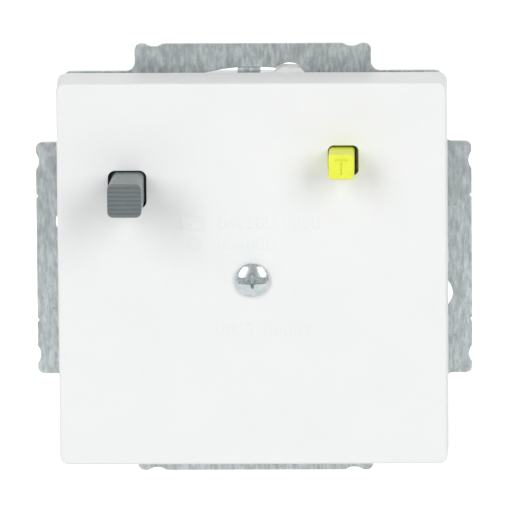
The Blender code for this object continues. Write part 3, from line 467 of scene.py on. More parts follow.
SPRING_WIRE = Finish(
    "spring_wire", (0.55, 0.55, 0.56), (0.40, 0.40, 0.42), roughness=0.28, roughness_spread=0.14,
    metallic=1.0, fine_scale=6000, coarse_scale=1500, depth=0.008, bump=0.25,
)
SOFT_IRON = Finish(
    "soft_iron", (0.42, 0.42, 0.43), (0.30, 0.30, 0.31), roughness=0.45, roughness_spread=0.2,
    metallic=0.95, fine_scale=4000, coarse_scale=500, depth=0.015, bump=0.3,
    spots=0.1, spot_colour=(0.2, 0.17, 0.14),
)
COPPER = Finish(
    "contact_copper", (0.83, 0.44, 0.27), (0.62, 0.30, 0.17), roughness=0.3, roughness_spread=0.18,
    metallic=1.0, fine_scale=4000, coarse_scale=420, depth=0.01, bump=0.25,
)
BRASS = Finish(
    "terminal_brass", (0.80, 0.62, 0.30), (0.60, 0.44, 0.19), roughness=0.34, roughness_spread=0.18,
    metallic=1.0, fine_scale=4000, coarse_scale=420, depth=0.01, bump=0.3,
)
ENAMEL = Finish(
    "winding_enamel", (0.48, 0.13, 0.045), (0.36, 0.085, 0.03), roughness=0.28, roughness_spread=0.1,
    coat=0.6, fine_scale=5000, coarse_scale=700, depth=0.01, bump=0.2,
)
CORE_TAPE = Finish(
    "core_tape", (0.10, 0.11, 0.125), (0.07, 0.075, 0.09), roughness=0.55, roughness_spread=0.14,
    fine_scale=3600, coarse_scale=400, depth=0.03, bump=0.5,
)
BLACK_PLASTIC = Finish(
    "black_plastic", (0.028, 0.028, 0.031), (0.02, 0.02, 0.022), roughness=0.45, roughness_spread=0.14,
    fine_scale=4200, coarse_scale=500, depth=0.02, bump=0.4,
)
MECHANISM_GREY = Finish(
    "mechanism_grey", (0.16, 0.165, 0.175), (0.13, 0.135, 0.145), roughness=0.5, roughness_spread=0.14,
    fine_scale=4200, coarse_scale=400, depth=0.025, bump=0.4,
)
BOARD_GREEN = Finish(
    "board_green", (0.02, 0.20, 0.07), (0.015, 0.15, 0.05), roughness=0.3, roughness_spread=0.1,
    coat=0.3, fine_scale=2600, coarse_scale=350, depth=0.01, bump=0.3,
)
RESISTOR_BLUE = Finish(
    "resistor_blue", (0.10, 0.28, 0.50), (0.08, 0.22, 0.42), roughness=0.35, roughness_spread=0.1,
    coat=0.4, fine_scale=4200, coarse_scale=600, depth=0.015, bump=0.3,
)
VARISTOR_AMBER = Finish(
    "varistor_amber", (0.66, 0.30, 0.04), (0.54, 0.23, 0.03), roughness=0.35, roughness_spread=0.12,
    coat=0.4, fine_scale=3600, coarse_scale=500, depth=0.03, bump=0.4,
)
SOLDER = Finish(
    "tinned_solder", (0.66, 0.66, 0.67), (0.50, 0.50, 0.52), roughness=0.3, roughness_spread=0.2,
    metallic=1.0, fine_scale=5000, coarse_scale=900, depth=0.01, bump=0.3,
)
SILVER = Finish(
    "contact_silver", (0.83, 0.81, 0.77), (0.66, 0.64, 0.61), roughness=0.28, roughness_spread=0.16,
    metallic=1.0, fine_scale=6000, coarse_scale=1200, depth=0.008, bump=0.25,
)
BAND_BROWN = Finish(
    "band_brown", (0.16, 0.05, 0.02), (0.12, 0.035, 0.015), roughness=0.4, coarse_scale=900, bump=0.1,
)
BAND_GOLD = Finish(
    "band_gold", (0.62, 0.43, 0.14), (0.50, 0.33, 0.10), roughness=0.4, metallic=0.6,
    coarse_scale=900, bump=0.1,
)
SLEEVE_BLUE = Finish(
    "sleeve_dark_blue", (0.03, 0.04, 0.07), (0.02, 0.03, 0.055), roughness=0.3, coarse_scale=400, bump=0.15,
)
SLOT_FINISH: dict[str, Finish] = {
    "galvanised_steel": GALVANISED,
    "zinc_screw": BRIGHT_ZINC,
    "spring_steel": SPRING_WIRE,
    "soft_iron": SOFT_IRON,
    "cover_white": COVER_WHITE,
    "housing_white": HOUSING_WHITE,
    "reset_grey": RESET_GREY,
    "test_yellow": TEST_YELLOW,
    "black_plastic": BLACK_PLASTIC,
    "mechanism_grey": MECHANISM_GREY,
    "contact_copper": COPPER,
    "terminal_brass": BRASS,
    "winding_enamel": ENAMEL,
    "core_tape": CORE_TAPE,
    "board_green": BOARD_GREEN,
    "resistor_blue": RESISTOR_BLUE,
    "varistor_amber": VARISTOR_AMBER,
}


# ---------------------------------------------------------------- shaping tools

def rounded_face(width: float, height: float, corner: float, segments: int = 6) -> Shape:
    """A flat rectangle with round corners in the XZ plane, facing -Y.

    Args:
        width: Its length along X.
        height: Its length along Z.
        corner: Radius of its corners.
        segments: Steps in each corner.

    Returns:
        A bmesh that holds the one face.
    """
    bm = bmesh.new()
    bmesh.ops.create_grid(bm, x_segments=1, y_segments=1, size=0.5)
    bmesh.ops.scale(bm, verts=bm.verts, vec=(width, height, 1.0))
    if corner > 0:
        bmesh.ops.bevel(
            bm, geom=list(bm.verts), offset=corner, offset_type="OFFSET", segments=segments,
            profile=0.5, affect="VERTICES", material=-1,
        )
    bmesh.ops.rotate(bm, verts=bm.verts, matrix=Matrix.Rotation(radians(90), 3, "X"))
    return bm


def round_face(radius: float, sides: int = 48) -> Shape:
    """A flat disc in the XZ plane, facing -Y.

    Args:
        radius: The disc's radius.
        sides: Corners round it.

    Returns:
        A bmesh that holds the one face.
    """
    bm = bmesh.new()
    bmesh.ops.create_circle(bm, cap_ends=True, segments=sides, radius=radius)
    bmesh.ops.rotate(bm, verts=bm.verts, matrix=Matrix.Rotation(radians(90), 3, "X"))
    return bm


def arc(centre: Pair, radius: float, start: float, end: float, steps: int) -> list[Pair]:
    """Points on an arc, from start to end in degrees."""
    turns = [radians(start + (end - start) * i / steps) for i in range(steps + 1)]
    return [(centre[0] + radius * cos(t), centre[1] + radius * sin(t)) for t in turns]


def turned_points(points: Sequence[Pair], degrees: float) -> list[Pair]:
    """Points turned about the origin."""
    c, s = cos(radians(degrees)), sin(radians(degrees))
    return [(c * u - s * v, s * u + c * v) for u, v in points]


def outline_face(points: Sequence[Pair]) -> Shape:
    """A flat face in the XZ plane with the given corners.

    Args:
        points: X and Z of the corners, in order.

    Returns:
        A bmesh that holds the one face.
    """
    bm = bmesh.new()
    for u, v in points:
        bmesh.ops.create_vert(bm, co=(u, 0.0, v))
    bm.verts.ensure_lookup_table()
    edges = [bm.edges.new((bm.verts[i - 1], bm.verts[i])) for i in range(len(points))]
    bmesh.ops.contextual_create(bm, geom=edges)
    return bm


def pushed(bm: Shape, front: float, rear: float, centre: Pair = (0.0, 0.0)) -> Shape:
    """Pushes a flat face along Y into a closed solid.

    Args:
        bm: A bmesh with one flat face on the plane y = 0.
        front: The solid's lowest Y.
        rear: The solid's highest Y.
        centre: X and Z of the outline's middle.

    Returns:
        The same bmesh, as a solid with outward normals.
    """
    grown = bmesh.ops.extrude_face_region(bm, geom=list(bm.faces))
    far = [part for part in grown["geom"] if isinstance(part, bmesh.types.BMVert)]
    bmesh.ops.translate(bm, verts=far, vec=(0.0, rear - front, 0.0))
    bmesh.ops.translate(bm, verts=bm.verts, vec=(centre[0], front, centre[1]))
    bmesh.ops.recalc_face_normals(bm, faces=bm.faces)
    return bm


def block(low: Point, high: Point) -> Shape:
    """A block between two corners.

    Args:
        low: The corner with the least X, Y and Z.
        high: The opposite corner.

    Returns:
        The block, with outward normals.
    """
    middle = (Vector(low) + Vector(high)) / 2
    sides = Vector(high) - Vector(low)
    bm = bmesh.new()
    bmesh.ops.create_cube(bm, size=1.0, matrix=Matrix.Translation(middle) @ Matrix.Diagonal((*sides, 1.0)))
    return bm


def edges_at(bm: Shape, test: Callable[[Vector], bool]) -> list[bmesh.types.BMEdge]:
    """The edges whose two ends both pass a test."""
    return [edge for edge in bm.edges if all(test(vert.co) for vert in edge.verts)]


def bevelled(bm: Shape, edges: Iterable, width: float, segments: int = 3) -> Shape:
    """Rounds the given edges.

    Args:
        bm: The shape.
        edges: Its edges to round.
        width: Width of the rounding.
        segments: Steps across it.

    Returns:
        The same shape.
    """
    bmesh.ops.bevel(
        bm, geom=list(edges), offset=width, offset_type="OFFSET", segments=segments,
        profile=0.5, affect="EDGES", clamp_overlap=True, material=-1,
    )
    return bm


def turned(
    profile: Sequence[Pair], steps: int = 48, axis: Axis = Axis.Y, centre: Point = (0.0, 0.0, 0.0)
) -> Shape:
    """Spins a profile about an axis into a closed solid.

    Args:
        profile: Pairs of radius and place along the axis. It starts and ends on the axis, or its
            two ends are joined to make a ring.
        steps: Steps in the full turn.
        axis: The axis to spin about.
        centre: A point on the axis.

    Returns:
        The solid, with outward normals.
    """
    along = Vector(axis.value)
    out = Vector(Axis.Z.value) if axis is Axis.X else Vector(Axis.X.value)
    bm = bmesh.new()
    verts = [bm.verts.new(out * radius + along * place) for radius, place in profile]
    edges = [bm.edges.new(pair) for pair in zip(verts, verts[1:])]
    if min(profile[0][0], profile[-1][0]) > 0:
        edges.append(bm.edges.new((verts[-1], verts[0])))
    bmesh.ops.spin(
        bm, geom=verts + edges, cent=(0.0, 0.0, 0.0), axis=along, angle=2 * pi, steps=steps, use_merge=True
    )
    bmesh.ops.remove_doubles(bm, verts=bm.verts, dist=WELD)
    bmesh.ops.recalc_face_normals(bm, faces=bm.faces)
    bmesh.ops.translate(bm, verts=bm.verts, vec=centre)
    return bm


def moved(bm: Shape, by: Point) -> Shape:
    """Moves a shape."""
    bmesh.ops.translate(bm, verts=bm.verts, vec=by)
    return bm


def rotated(
    bm: Shape, degrees: float, axis: Axis = Axis.Y, centre: Point = (0.0, 0.0, 0.0)
) -> Shape:
    """Turns a shape about an axis through a point."""
    bmesh.ops.rotate(bm, verts=bm.verts, cent=centre, matrix=Matrix.Rotation(radians(degrees), 3, axis.name))
    return bm


def object_of(name: str, bm: Shape) -> bpy.types.Object:
    """A scene object that holds a bmesh.

    Args:
        name: The object's name.
        bm: The shape, which is used up.

    Returns:
        The object, linked to the scene.
    """
    mesh = bpy.data.meshes.new(name)
    bm.to_mesh(mesh)
    bm.free()
    obj = bpy.data.objects.new(name, mesh)
    bpy.context.scene.collection.objects.link(obj)
    return obj


def settled(obj: bpy.types.Object) -> Shape:
    """The object's evaluated mesh as a bmesh, and the object removed.

    Args:
        obj: The object, with its modifiers.

    Returns:
        The shape that its modifiers give.
    """
    bpy.context.view_layer.update()
    graph = bpy.context.evaluated_depsgraph_get()
    bm = bmesh.new()
    bm.from_mesh(obj.evaluated_get(graph).to_mesh())
    bpy.data.objects.remove(obj, do_unlink=True)
    return bm


def combined(first: Shape, others: Iterable[Shape], operation: Operation) -> Shape:
    """Joins shapes to the first, or cuts it by them, one after another.

    Args:
        first: The shape that is changed.
        others: The shapes that are added or taken away.
        operation: What to do with them.

    Returns:
        The changed shape.
    """
    for other in others:
        target = object_of("work", first)
        tool = object_of("tool", other)
        step = target.modifiers.new("Boolean", "BOOLEAN")
        step.operation = operation.value
        step.solver = "EXACT"
        step.object = tool
        first = settled(target)
        bpy.data.objects.remove(tool, do_unlink=True)
    return first


def joined(first: Shape, *others: Shape) -> Shape:
    """The first shape with the others added."""
    return combined(first, others, Operation.JOIN)


def cut(first: Shape, *others: Shape) -> Shape:
    """The first shape with the others taken away."""
    return combined(first, others, Operation.CUT)


def softened(bm: Shape, width: float, segments: int = 2, angle: float = 40.0) -> Shape:
    """Rounds every edge that is sharper than an angle.

    Args:
        bm: The shape.
        width: Width of the rounding.
        segments: Steps across it.
        angle: The least angle between two faces, in degrees, that is rounded.

    Returns:
        The rounded shape.
    """
    obj = object_of("work", bm)
    step = obj.modifiers.new("Bevel", "BEVEL")
    step.width = width
    step.segments = segments
    step.limit_method = "ANGLE"
    step.angle_limit = radians(angle)
    step.use_clamp_overlap = True
    return settled(obj)


def helix(
    radius: float, start: float, end: float, turns: float, steps: int = 24, flat: float = 0.75
) -> list[Vector]:
    """Points on a coil about Y whose end turns lie flat.

    Args:
        radius: The coil's mean radius.
        start: Y of its first turn.
        end: Y of its last turn.
        turns: Number of turns.
        steps: Points in each turn.
        flat: Turns at each end that don't rise.

    Returns:
        The points, round the Y axis.
    """
    points = []
    for i in range(int(turns * steps) + 1):
        turn = i / steps
        rise = min(max((turn - flat) / (turns - 2 * flat), 0.0), 1.0)
        angle = 2 * pi * turn
        points.append(Vector((radius * cos(angle), start + (end - start) * rise, radius * sin(angle))))
    return points


def wire(points: Sequence[Vector], radius: float, closed: bool = False, sides: int = 4) -> Shape:
    """A round wire along points, as a mesh.

    Args:
        points: The middle line.
        radius: The wire's radius.
        closed: True where the wire joins its own start.
        sides: Blender's bevel resolution, which sets the sides of the wire.

    Returns:
        The wire's mesh.
    """
    curve = bpy.data.curves.new("wire", "CURVE")
    curve.dimensions = "3D"
    curve.bevel_depth = radius
    curve.bevel_resolution = sides
    curve.use_fill_caps = True
    spline = curve.splines.new("POLY")
    spline.points.add(len(points) - 1)
    for place, point in zip(spline.points, points):
        place.co = (*point, 1.0)
    spline.use_cyclic_u = closed
    obj = bpy.data.objects.new("wire", curve)
    bpy.context.scene.collection.objects.link(obj)
    bm = settled(obj)
    bmesh.ops.remove_doubles(bm, verts=bm.verts, dist=WELD)
    return bm


def merged(*shapes: Shape) -> Shape:
    """Several separate shapes in one mesh.

    Args:
        shapes: The shapes, which are used up.

    Returns:
        One bmesh that holds them all.
    """
    whole = bmesh.new()
    for shape in shapes:
        mesh = bpy.data.meshes.new("part")
        shape.to_mesh(mesh)
        shape.free()
        whole.from_mesh(mesh)
        bpy.data.meshes.remove(mesh)
    return whole


def add_piece(
    name: str, bm: Shape, finish: Finish, body: str, nodes: Sequence[str], smooth: float = 32.0
) -> bpy.types.Object:
    """Turns a shape in millimetres into a finished piece of the scene.

    Args:
        name: The piece's name.
        bm: Its shape, in place.
        finish: Its surface.
        body: The CAD body that it rides on, or nothing for a piece that crosses a joint.
        nodes: The CAD nodes that it stands for.
        smooth: Edges sharper than this many degrees stay sharp.

    Returns:
        The piece.
    """
    bmesh.ops.scale(bm, verts=bm.verts, vec=(MM, MM, MM))
    obj = object_of(name, bm)
    obj.data.materials.clear()
    obj.data.materials.append(finish.build())
    obj.data.shade_smooth()
    obj.data.set_sharp_from_angle(angle=radians(smooth))
    step = obj.modifiers.new("Normals", "WEIGHTED_NORMAL")
    step.keep_sharp = True
    graph = bpy.context.evaluated_depsgraph_get()
    weighted = bpy.data.meshes.new_from_object(obj.evaluated_get(graph))
    obj.modifiers.clear()
    obj.data = weighted
    if body:
        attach(obj, body)
    if nodes:
        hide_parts(*nodes)
    LOG.info("%s: %d faces", name, len(obj.data.polygons))
    return obj


def node_box(node: str) -> tuple[Vector, Vector]:
    """Lowest and highest corner of a CAD node, in millimetres."""
    low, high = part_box(node)
    return low / MM, high / MM


# ---------------------------------------------------------------- support ring

@dataclass
class SupportRing:
    """The punched ring with four tabs, keyhole slots and a bent earthing lug."""

    thickness: float = 1.0
    body: float = 62.0
    body_corner: float = 1.5
    tab_width: float = 38.5
    tab_corner: float = 1.1
    tab_fillet: float = 1.4
    scallop_offset: float = 16.1
    scallop_radius: float = 2.35
    scallop_spread: float = 38.0
    nick_offset: float = 10.3
    nick_radius: float = 0.3
    circle_radius: float = 30.0
    keyhole_radius: float = 2.95
    keyhole_angle: float = 11.5
    slot_width: float = 3.3
    slot_sweep: float = 24.0
    opening: float = 48.6
    opening_corner: float = 15.3
    lug_width: float = 3.7
    lug_shift: float = -0.6
    lug_thickness: float = 0.9
    lug_rise: float = 0.15
    edge: float = 0.1

    def side(self, tip: float, nicked: bool) -> list[Pair]:
        """A body corner and the tab after it, from right to left.

        Args:
            tip: Distance from the middle to the tab's end.
            nicked: True where the tab's end has two small nicks.

        Returns:
            The outline's points along this side.
        """
        half, body = self.tab_width / 2, self.body / 2
        points = arc((body - self.body_corner, body - self.body_corner), self.body_corner, 0, 90, 8)
        points += arc((half + self.tab_fillet, body + self.tab_fillet), self.tab_fillet, -90, -180, 8)
        points += arc((half - self.tab_corner, tip - self.tab_corner), self.tab_corner, 0, 90, 8)
        rise = self.scallop_radius * cos(radians(self.scallop_spread))
        for place in (self.scallop_offset, -self.scallop_offset):
            turn = self.scallop_spread
            points += arc((place, tip + rise), self.scallop_radius, -90 + turn, -90 - turn, 10)
            if place > 0 and nicked:
                points += arc((self.nick_offset, tip), self.nick_radius, 0, -180, 6)
                points += arc((-self.nick_offset, tip), self.nick_radius, 0, -180, 6)
        points += arc((-half + self.tab_corner, tip - self.tab_corner), self.tab_corner, 90, 180, 8)
        points += arc((-half - self.tab_fillet, body + self.tab_fillet), self.tab_fillet, 0, -90, 8)
        return points

    def slot(self) -> list[Pair]:
        """The top tab's curved slot, which starts in its keyhole.

        Returns:
            The slot's outline.
        """
        start = 90 - self.keyhole_angle
        end = start + self.keyhole_angle + self.slot_sweep
        half = self.slot_width / 2
        tip = (self.circle_radius * cos(radians(end)), self.circle_radius * sin(radians(end)))
        points = arc((0.0, 0.0), self.circle_radius + half, start, end, 28)
        points += arc(tip, half, end, end + 180, 12)[1:-1]
        return points + arc((0.0, 0.0), self.circle_radius - half, end, start, 28)

    def lug(self, front: float) -> Shape:
        """The small tongue bent forward at the top slot's outer edge.

        Args:
            front: Y of the tongue's tip.

        Returns:
            The tongue, in place.
        """
        top = self.circle_radius + self.slot_width / 2 + self.lug_rise
        half = self.lug_width / 2
        tongue = block(
            (self.lug_shift - half, front, top - self.lug_thickness),
            (self.lug_shift + half, -self.thickness / 2, top),
        )
        tip = edges_at(tongue, lambda co: co.y < front + NEAR)
        return bevelled(tongue, tip, 0.25, 3)

    def build(self) -> None:
        """Builds the ring and dresses it."""
        low, high = node_box("support_ring")
        outline = []
        angle = radians(90 - self.keyhole_angle)
        middle = (self.circle_radius * cos(angle), self.circle_radius * sin(angle))
        cutters = [pushed(rounded_face(self.opening, self.opening, self.opening_corner, 14), -5.0, 5.0)]
        for quarter in range(4):
            outline += turned_points(self.side(high.z, quarter % 2 == 1), 90 * quarter)
            for hole in (self.slot(), arc(middle, self.keyhole_radius, 0, 352.5, 47)):
                cutters.append(pushed(outline_face(turned_points(hole, 90 * quarter)), -5.0, 5.0))
        sheet = cut(pushed(outline_face(outline), -self.thickness, 0.0), *cutters)
        ring = softened(joined(sheet, self.lug(low.y)), self.edge, 2, 50)
        add_piece("support_ring_finished", ring, GALVANISED, "housing", ["support_ring"])


# ---------------------------------------------------------------- cover, screw and buttons

@dataclass
class CoverPlate:
    """The square white cover with two button openings and the centre screw's hole."""

    wall: float = 1.8
    corner: float = 1.4
    edge: float = 0.45
    rear_edge: float = 0.12
    draft: float = 0.15
    reset_opening: float = 6.25
    reset_corner: float = 1.2
    reset_shift: float = 0.17
    test_opening: float = 4.95
    test_corner: float = 0.95
    test_shift: float = 0.25
    hole_radius: float = 1.8
    lip: float = 0.22

    def shell(self, low: Vector, high: Vector) -> Shape:
        """The hollow square cover, without its openings.

        Args:
            low: The cover's lowest corner.
            high: Its highest corner.

        Returns:
            The shell, in place.
        """
        size = high.x - low.x
        outer = pushed(rounded_face(size, size, self.corner, 10), low.y, high.y)
        front = [vert for vert in outer.verts if vert.co.y < low.y + NEAR]
        taper = 1 - 2 * self.draft / size
        bmesh.ops.scale(outer, verts=front, vec=(taper, 1.0, taper))
        bevelled(outer, edges_at(outer, lambda co: co.y < low.y + NEAR), self.edge, 5)
        bevelled(outer, edges_at(outer, lambda co: co.y > high.y - NEAR), self.rear_edge, 2)
        inner = size - 2 * self.draft - 2 * self.wall
        face = rounded_face(inner, inner, self.corner / 2, 4)
        return cut(outer, pushed(face, low.y + self.wall, high.y + 5))

    def openings(self, front: float) -> list[Shape]:
        """The cutters for the two buttons and the centre screw.

        Args:
            front: Y of the cover's front.

        Returns:
            The cutters, in place.
        """
        rear = front + self.wall + 2
        cutters = []
        for node, opening, corner, shift in (
            ("reset_button", self.reset_opening, self.reset_corner, self.reset_shift),
            ("test_button", self.test_opening, self.test_corner, self.test_shift),
        ):
            x, z = BUTTON_PLACES[node]
            face = rounded_face(opening, opening, corner, 8)
            cutters.append(pushed(face, front - 5, rear, (x + shift, z)))
        screw_low, screw_high = node_box("plate_screw")
        middle = (screw_low.z + screw_high.z) / 2
        cutters.append(pushed(round_face(self.hole_radius), front - 5, rear, (0.0, middle)))
        return cutters

    def rims(self, plate: Shape, front: float, reach: float) -> list[bmesh.types.BMEdge]:
        """The sharp edges round the openings on the cover's front.

        Args:
            plate: The cover with its openings.
            front: Y of the cover's front.
            reach: How far from the middle the openings lie at most.

        Returns:
            The edges.
        """
        def inside(vert: bmesh.types.BMVert) -> bool:
            """True for a corner on the front that isn't on the cover's outline."""
            return abs(vert.co.y - front) < NEAR and max(abs(vert.co.x), abs(vert.co.z)) < reach

        found = []
        for edge in plate.edges:
            sharp = len(edge.link_faces) == 2 and edge.calc_face_angle(0.0) > radians(60)
            if sharp and all(inside(vert) for vert in edge.verts):
                found.append(edge)
        return found

    def build(self) -> None:
        """Builds the cover and dresses it."""
        low, high = node_box("cover_plate")
        plate = cut(self.shell(low, high), *self.openings(low.y))
        reach = (high.x - low.x) / 2 - 2 * self.corner
        bevelled(plate, self.rims(plate, low.y, reach), self.lip, 3)
        add_piece("cover_plate_finished", plate, COVER_WHITE, "housing", ["cover_plate"])


@dataclass
class CoverRelief:
    """Faint raised marks on the cover: a framed wave, a ring and rows of plain bars, with no lettering."""

    height: float = 0.05
    slope: float = 0.09
    sunk: float = 0.05
    bar_width: float = 1.1
    bar_pitch: float = 1.56
    frame_place: Pair = (-9.5, 8.55)
    frame_size: Pair = (4.0, 2.7)
    frame_stroke: float = 0.34
    wave_rise: float = 0.45
    ring_place: Pair = (-9.35, 5.2)
    ring_radius: float = 1.15
    row_height: float = 1.9
    upper_row: float = 8.5
    lower_row: float = 5.15
    foot_row: float = -9.0

    def raised(self, face: Shape, front: float, place: Pair) -> Shape:
        """A flat shape pushed out of the cover, with sloping sides.

        Args:
            face: The shape, about the origin.
            front: The cover's front.
            place: The middle of the shape on the cover, as X and Z.

        Returns:
            The solid, in place.
        """
        half = max(vert.co.x for vert in face.verts), max(vert.co.z for vert in face.verts)
        bm = pushed(face, -self.height, self.sunk)
        tip = [vert for vert in bm.verts if vert.co.y < -self.height / 2]
        bmesh.ops.scale(bm, verts=tip, vec=(1 - self.slope / half[0], 1.0, 1 - self.slope / half[1]))
        return moved(bm, (place[0], front, place[1]))

    def row(self, start: float, end: float, level: float, front: float) -> Shape:
        """A row of plain bars between two places.

        Args:
            start: X where the row starts.
            end: X where it ends.
            level: Z of its middle.
            front: The cover's front.

        Returns:
            The bars, in place.
        """
        count = round((end - start) / self.bar_pitch)
        bars = []
        for i in range(count):
            face = rounded_face(self.bar_width, self.row_height, self.bar_width / 3, 3)
            bars.append(self.raised(face, front, (start + self.bar_pitch * (i + 0.5), level)))
        return merged(*bars)

    def framed_wave(self, front: float) -> Shape:
        """A rectangular frame with one wave across it.

        Args:
            front: The cover's front.

        Returns:
            The frame and its wave, in place.
        """
        wide, tall = self.frame_size
        inner = rounded_face(wide - 2 * self.frame_stroke, tall - 2 * self.frame_stroke, 0.15, 3)
        frame = cut(
            self.raised(rounded_face(wide, tall, 0.35, 4), front, self.frame_place),
            moved(pushed(inner, -1.0, 1.0), (self.frame_place[0], front, self.frame_place[1])),
        )
        reach = wide / 2 - 2.2 * self.frame_stroke
        path = []
        for i in range(17):
            along = 2 * i / 16 - 1
            rise = self.wave_rise * sin(pi * along)
            path.append((self.frame_place[0] + reach * along, front, self.frame_place[1] + rise))
        return merged(frame, wire(path, self.height, sides=6))

    def ring(self, front: float) -> Shape:
        """A raised ring, as the generic symbol.

        Args:
            front: The cover's front.

        Returns:
            The ring, in place.
        """
        outer, inner = self.ring_radius, self.ring_radius - self.frame_stroke
        profile = [(inner, self.sunk), (inner, -self.height)]
        profile += [(outer - self.slope, -self.height), (outer, self.sunk)]
        return moved(turned(profile, 40), (self.ring_place[0], front, self.ring_place[1]))

    def build(self) -> None:
        """Builds the marks and dresses them."""
        front = node_box("cover_plate")[0].y
        marks = merged(
            self.framed_wave(front),
            self.ring(front),
            self.row(-5.7, 3.66, self.upper_row, front),
            self.row(4.9, 11.14, self.upper_row, front),
            self.row(-5.7, 3.66, self.lower_row, front),
            self.row(-6.0, 9.6, self.foot_row, front),
        )
        add_piece("cover_relief", marks, COVER_WHITE, "housing", [])


@dataclass
class PlateScrew:
    """The zinc-plated centre screw, with a broad slot crossed by a cross recess."""

    head_radius: float = 2.75
    head_height: float = 1.3
    dome: float = 0.85
    dome_angle: float = 58.0
    shank_radius: float = 1.45
    slot_width: float = 1.05
    slot_depth: float = 0.55
    cross_length: float = 3.7
    cross_width: float = 1.15
    cross_depth: float = 1.15
    cross_taper: float = 0.45
    pitch: float = 0.7

    def cross_arm(self, top: float) -> Shape:
        """One bar of the cross recess, which narrows towards its ends and its bottom.

        Args:
            top: Y of the head's top.

        Returns:
            The cutter for the bar.
        """
        half, thin = self.cross_length / 2, self.cross_width / 2
        tip = thin * self.cross_taper
        corners = [(-tip, -half), (tip, -half), (thin, 0.0), (tip, half), (-tip, half), (-thin, 0.0)]
        bar = pushed(outline_face(corners), top - 1, top + self.cross_depth)
        bottom = [vert for vert in bar.verts if vert.co.y > top]
        bmesh.ops.scale(bar, verts=bottom, vec=(0.35, 1.0, 0.45))
        return bar

    def head(self, top: float, seat: float, tip: float) -> Shape:
        """The turned body with its slot and its cross recess.

        Args:
            top: Y of the head's top.
            seat: Y where the head ends.
            tip: Y of the screw's tip.

        Returns:
            The screw without its thread, about the Y axis.
        """
        r, last = self.head_radius, radians(self.dome_angle)
        profile = [(0.0, top)]
        for i in range(1, 11):
            angle = last * i / 10
            drop = self.dome * (1 - cos(angle)) / (1 - cos(last))
            profile.append((r * 0.985 * sin(angle) / sin(last), top + drop))
        profile += [(r, top + self.dome + 0.1), (r, seat - 0.08), (r - 0.08, seat)]
        profile += [(self.shank_radius, seat)]
        profile += [(self.shank_radius, tip - 0.9), (0.8, tip), (0.0, tip)]
        half = self.slot_width / 2
        slot = block((-r - 1, top - 1, -half), (r + 1, top + self.slot_depth, half))
        arms = [self.cross_arm(top), rotated(self.cross_arm(top), 90, Axis.Y)]
        return softened(cut(turned(profile, 64), slot, *arms), 0.07, 3, 40)

    def build(self) -> None:
        """Builds the screw and dresses it."""
        low, high = node_box("plate_screw")
        top, tip = low.y, high.y
        seat = top + self.head_height
        middle = (low.z + high.z) / 2
        turns = (tip - 1.2 - seat) / self.pitch
        thread = wire(helix(self.shank_radius, seat + 0.5, tip - 0.9, turns, 20, 0.1), 0.2, sides=2)
        screw = moved(merged(self.head(top, seat, tip), thread), (0.0, 0.0, middle))
        add_piece("plate_screw_finished", screw, BRIGHT_ZINC, "housing", ["plate_screw"])


@dataclass
class ResetButton:
    """The grey ribbed button, its flange and the stem that drives the contact carrier."""

    size: float = 5.5
    root_width: float = 4.95
    root_height: float = 5.65
    root_shift: Pair = (0.5, 0.08)
    corner: float = 0.95
    edge: float = 0.1
    ribs: int = 7
    rib_pitch: float = 0.7
    groove_width: float = 0.34
    groove_depth: float = 0.16
    stem: float = 2.8
    stem_place: Pair = (-17.5, 11.5)

    def build(self) -> None:
        """Builds the button and dresses it."""
        low, high = node_box("reset_button")
        x, z = BUTTON_PLACES["reset_button"]
        flange = FLANGE_FRONT
        head = pushed(rounded_face(self.size, self.size, self.corner, 8), low.y, flange + 0.6)
        root = [vert for vert in head.verts if vert.co.y > flange]
        taper = (self.root_width / self.size, 1.0, self.root_height / self.size)
        bmesh.ops.scale(head, verts=root, vec=taper)
        bmesh.ops.translate(head, verts=root, vec=(self.root_shift[0], 0.0, self.root_shift[1]))
        bevelled(head, edges_at(head, lambda co: co.y < low.y + NEAR), self.edge, 3)
        pitch = self.rib_pitch
        grooves = []
        for i in range(self.ribs):
            at = (i - (self.ribs - 1) / 2) * pitch
            groove = block(
                (-self.size, low.y - 1, at - self.groove_width / 2),
                (self.size, low.y + self.groove_depth, at + self.groove_width / 2),
            )
            bottom = edges_at(groove, lambda co: co.y > low.y)
            grooves.append(bevelled(groove, bottom, 0.08, 2))
        head = moved(softened(cut(head, *grooves), 0.05, 2, 55), (x, 0.0, z))
        plate = block(
            (x - 3.4, flange, self.stem_place[1] - 2.4),
            (self.stem_place[0] + 3.0, flange + 1.2, z + 3.4),
        )
        half = self.stem / 2
        stem = block(
            (self.stem_place[0] - half, flange + 0.6, self.stem_place[1] - half),
            (self.stem_place[0] + half, high.y, self.stem_place[1] + half),
        )
        foot = softened(joined(plate, stem), 0.15, 2, 50)
        button = merged(head, foot)
        add_piece("reset_button_finished", button, RESET_GREY, "reset", ["reset_button"])


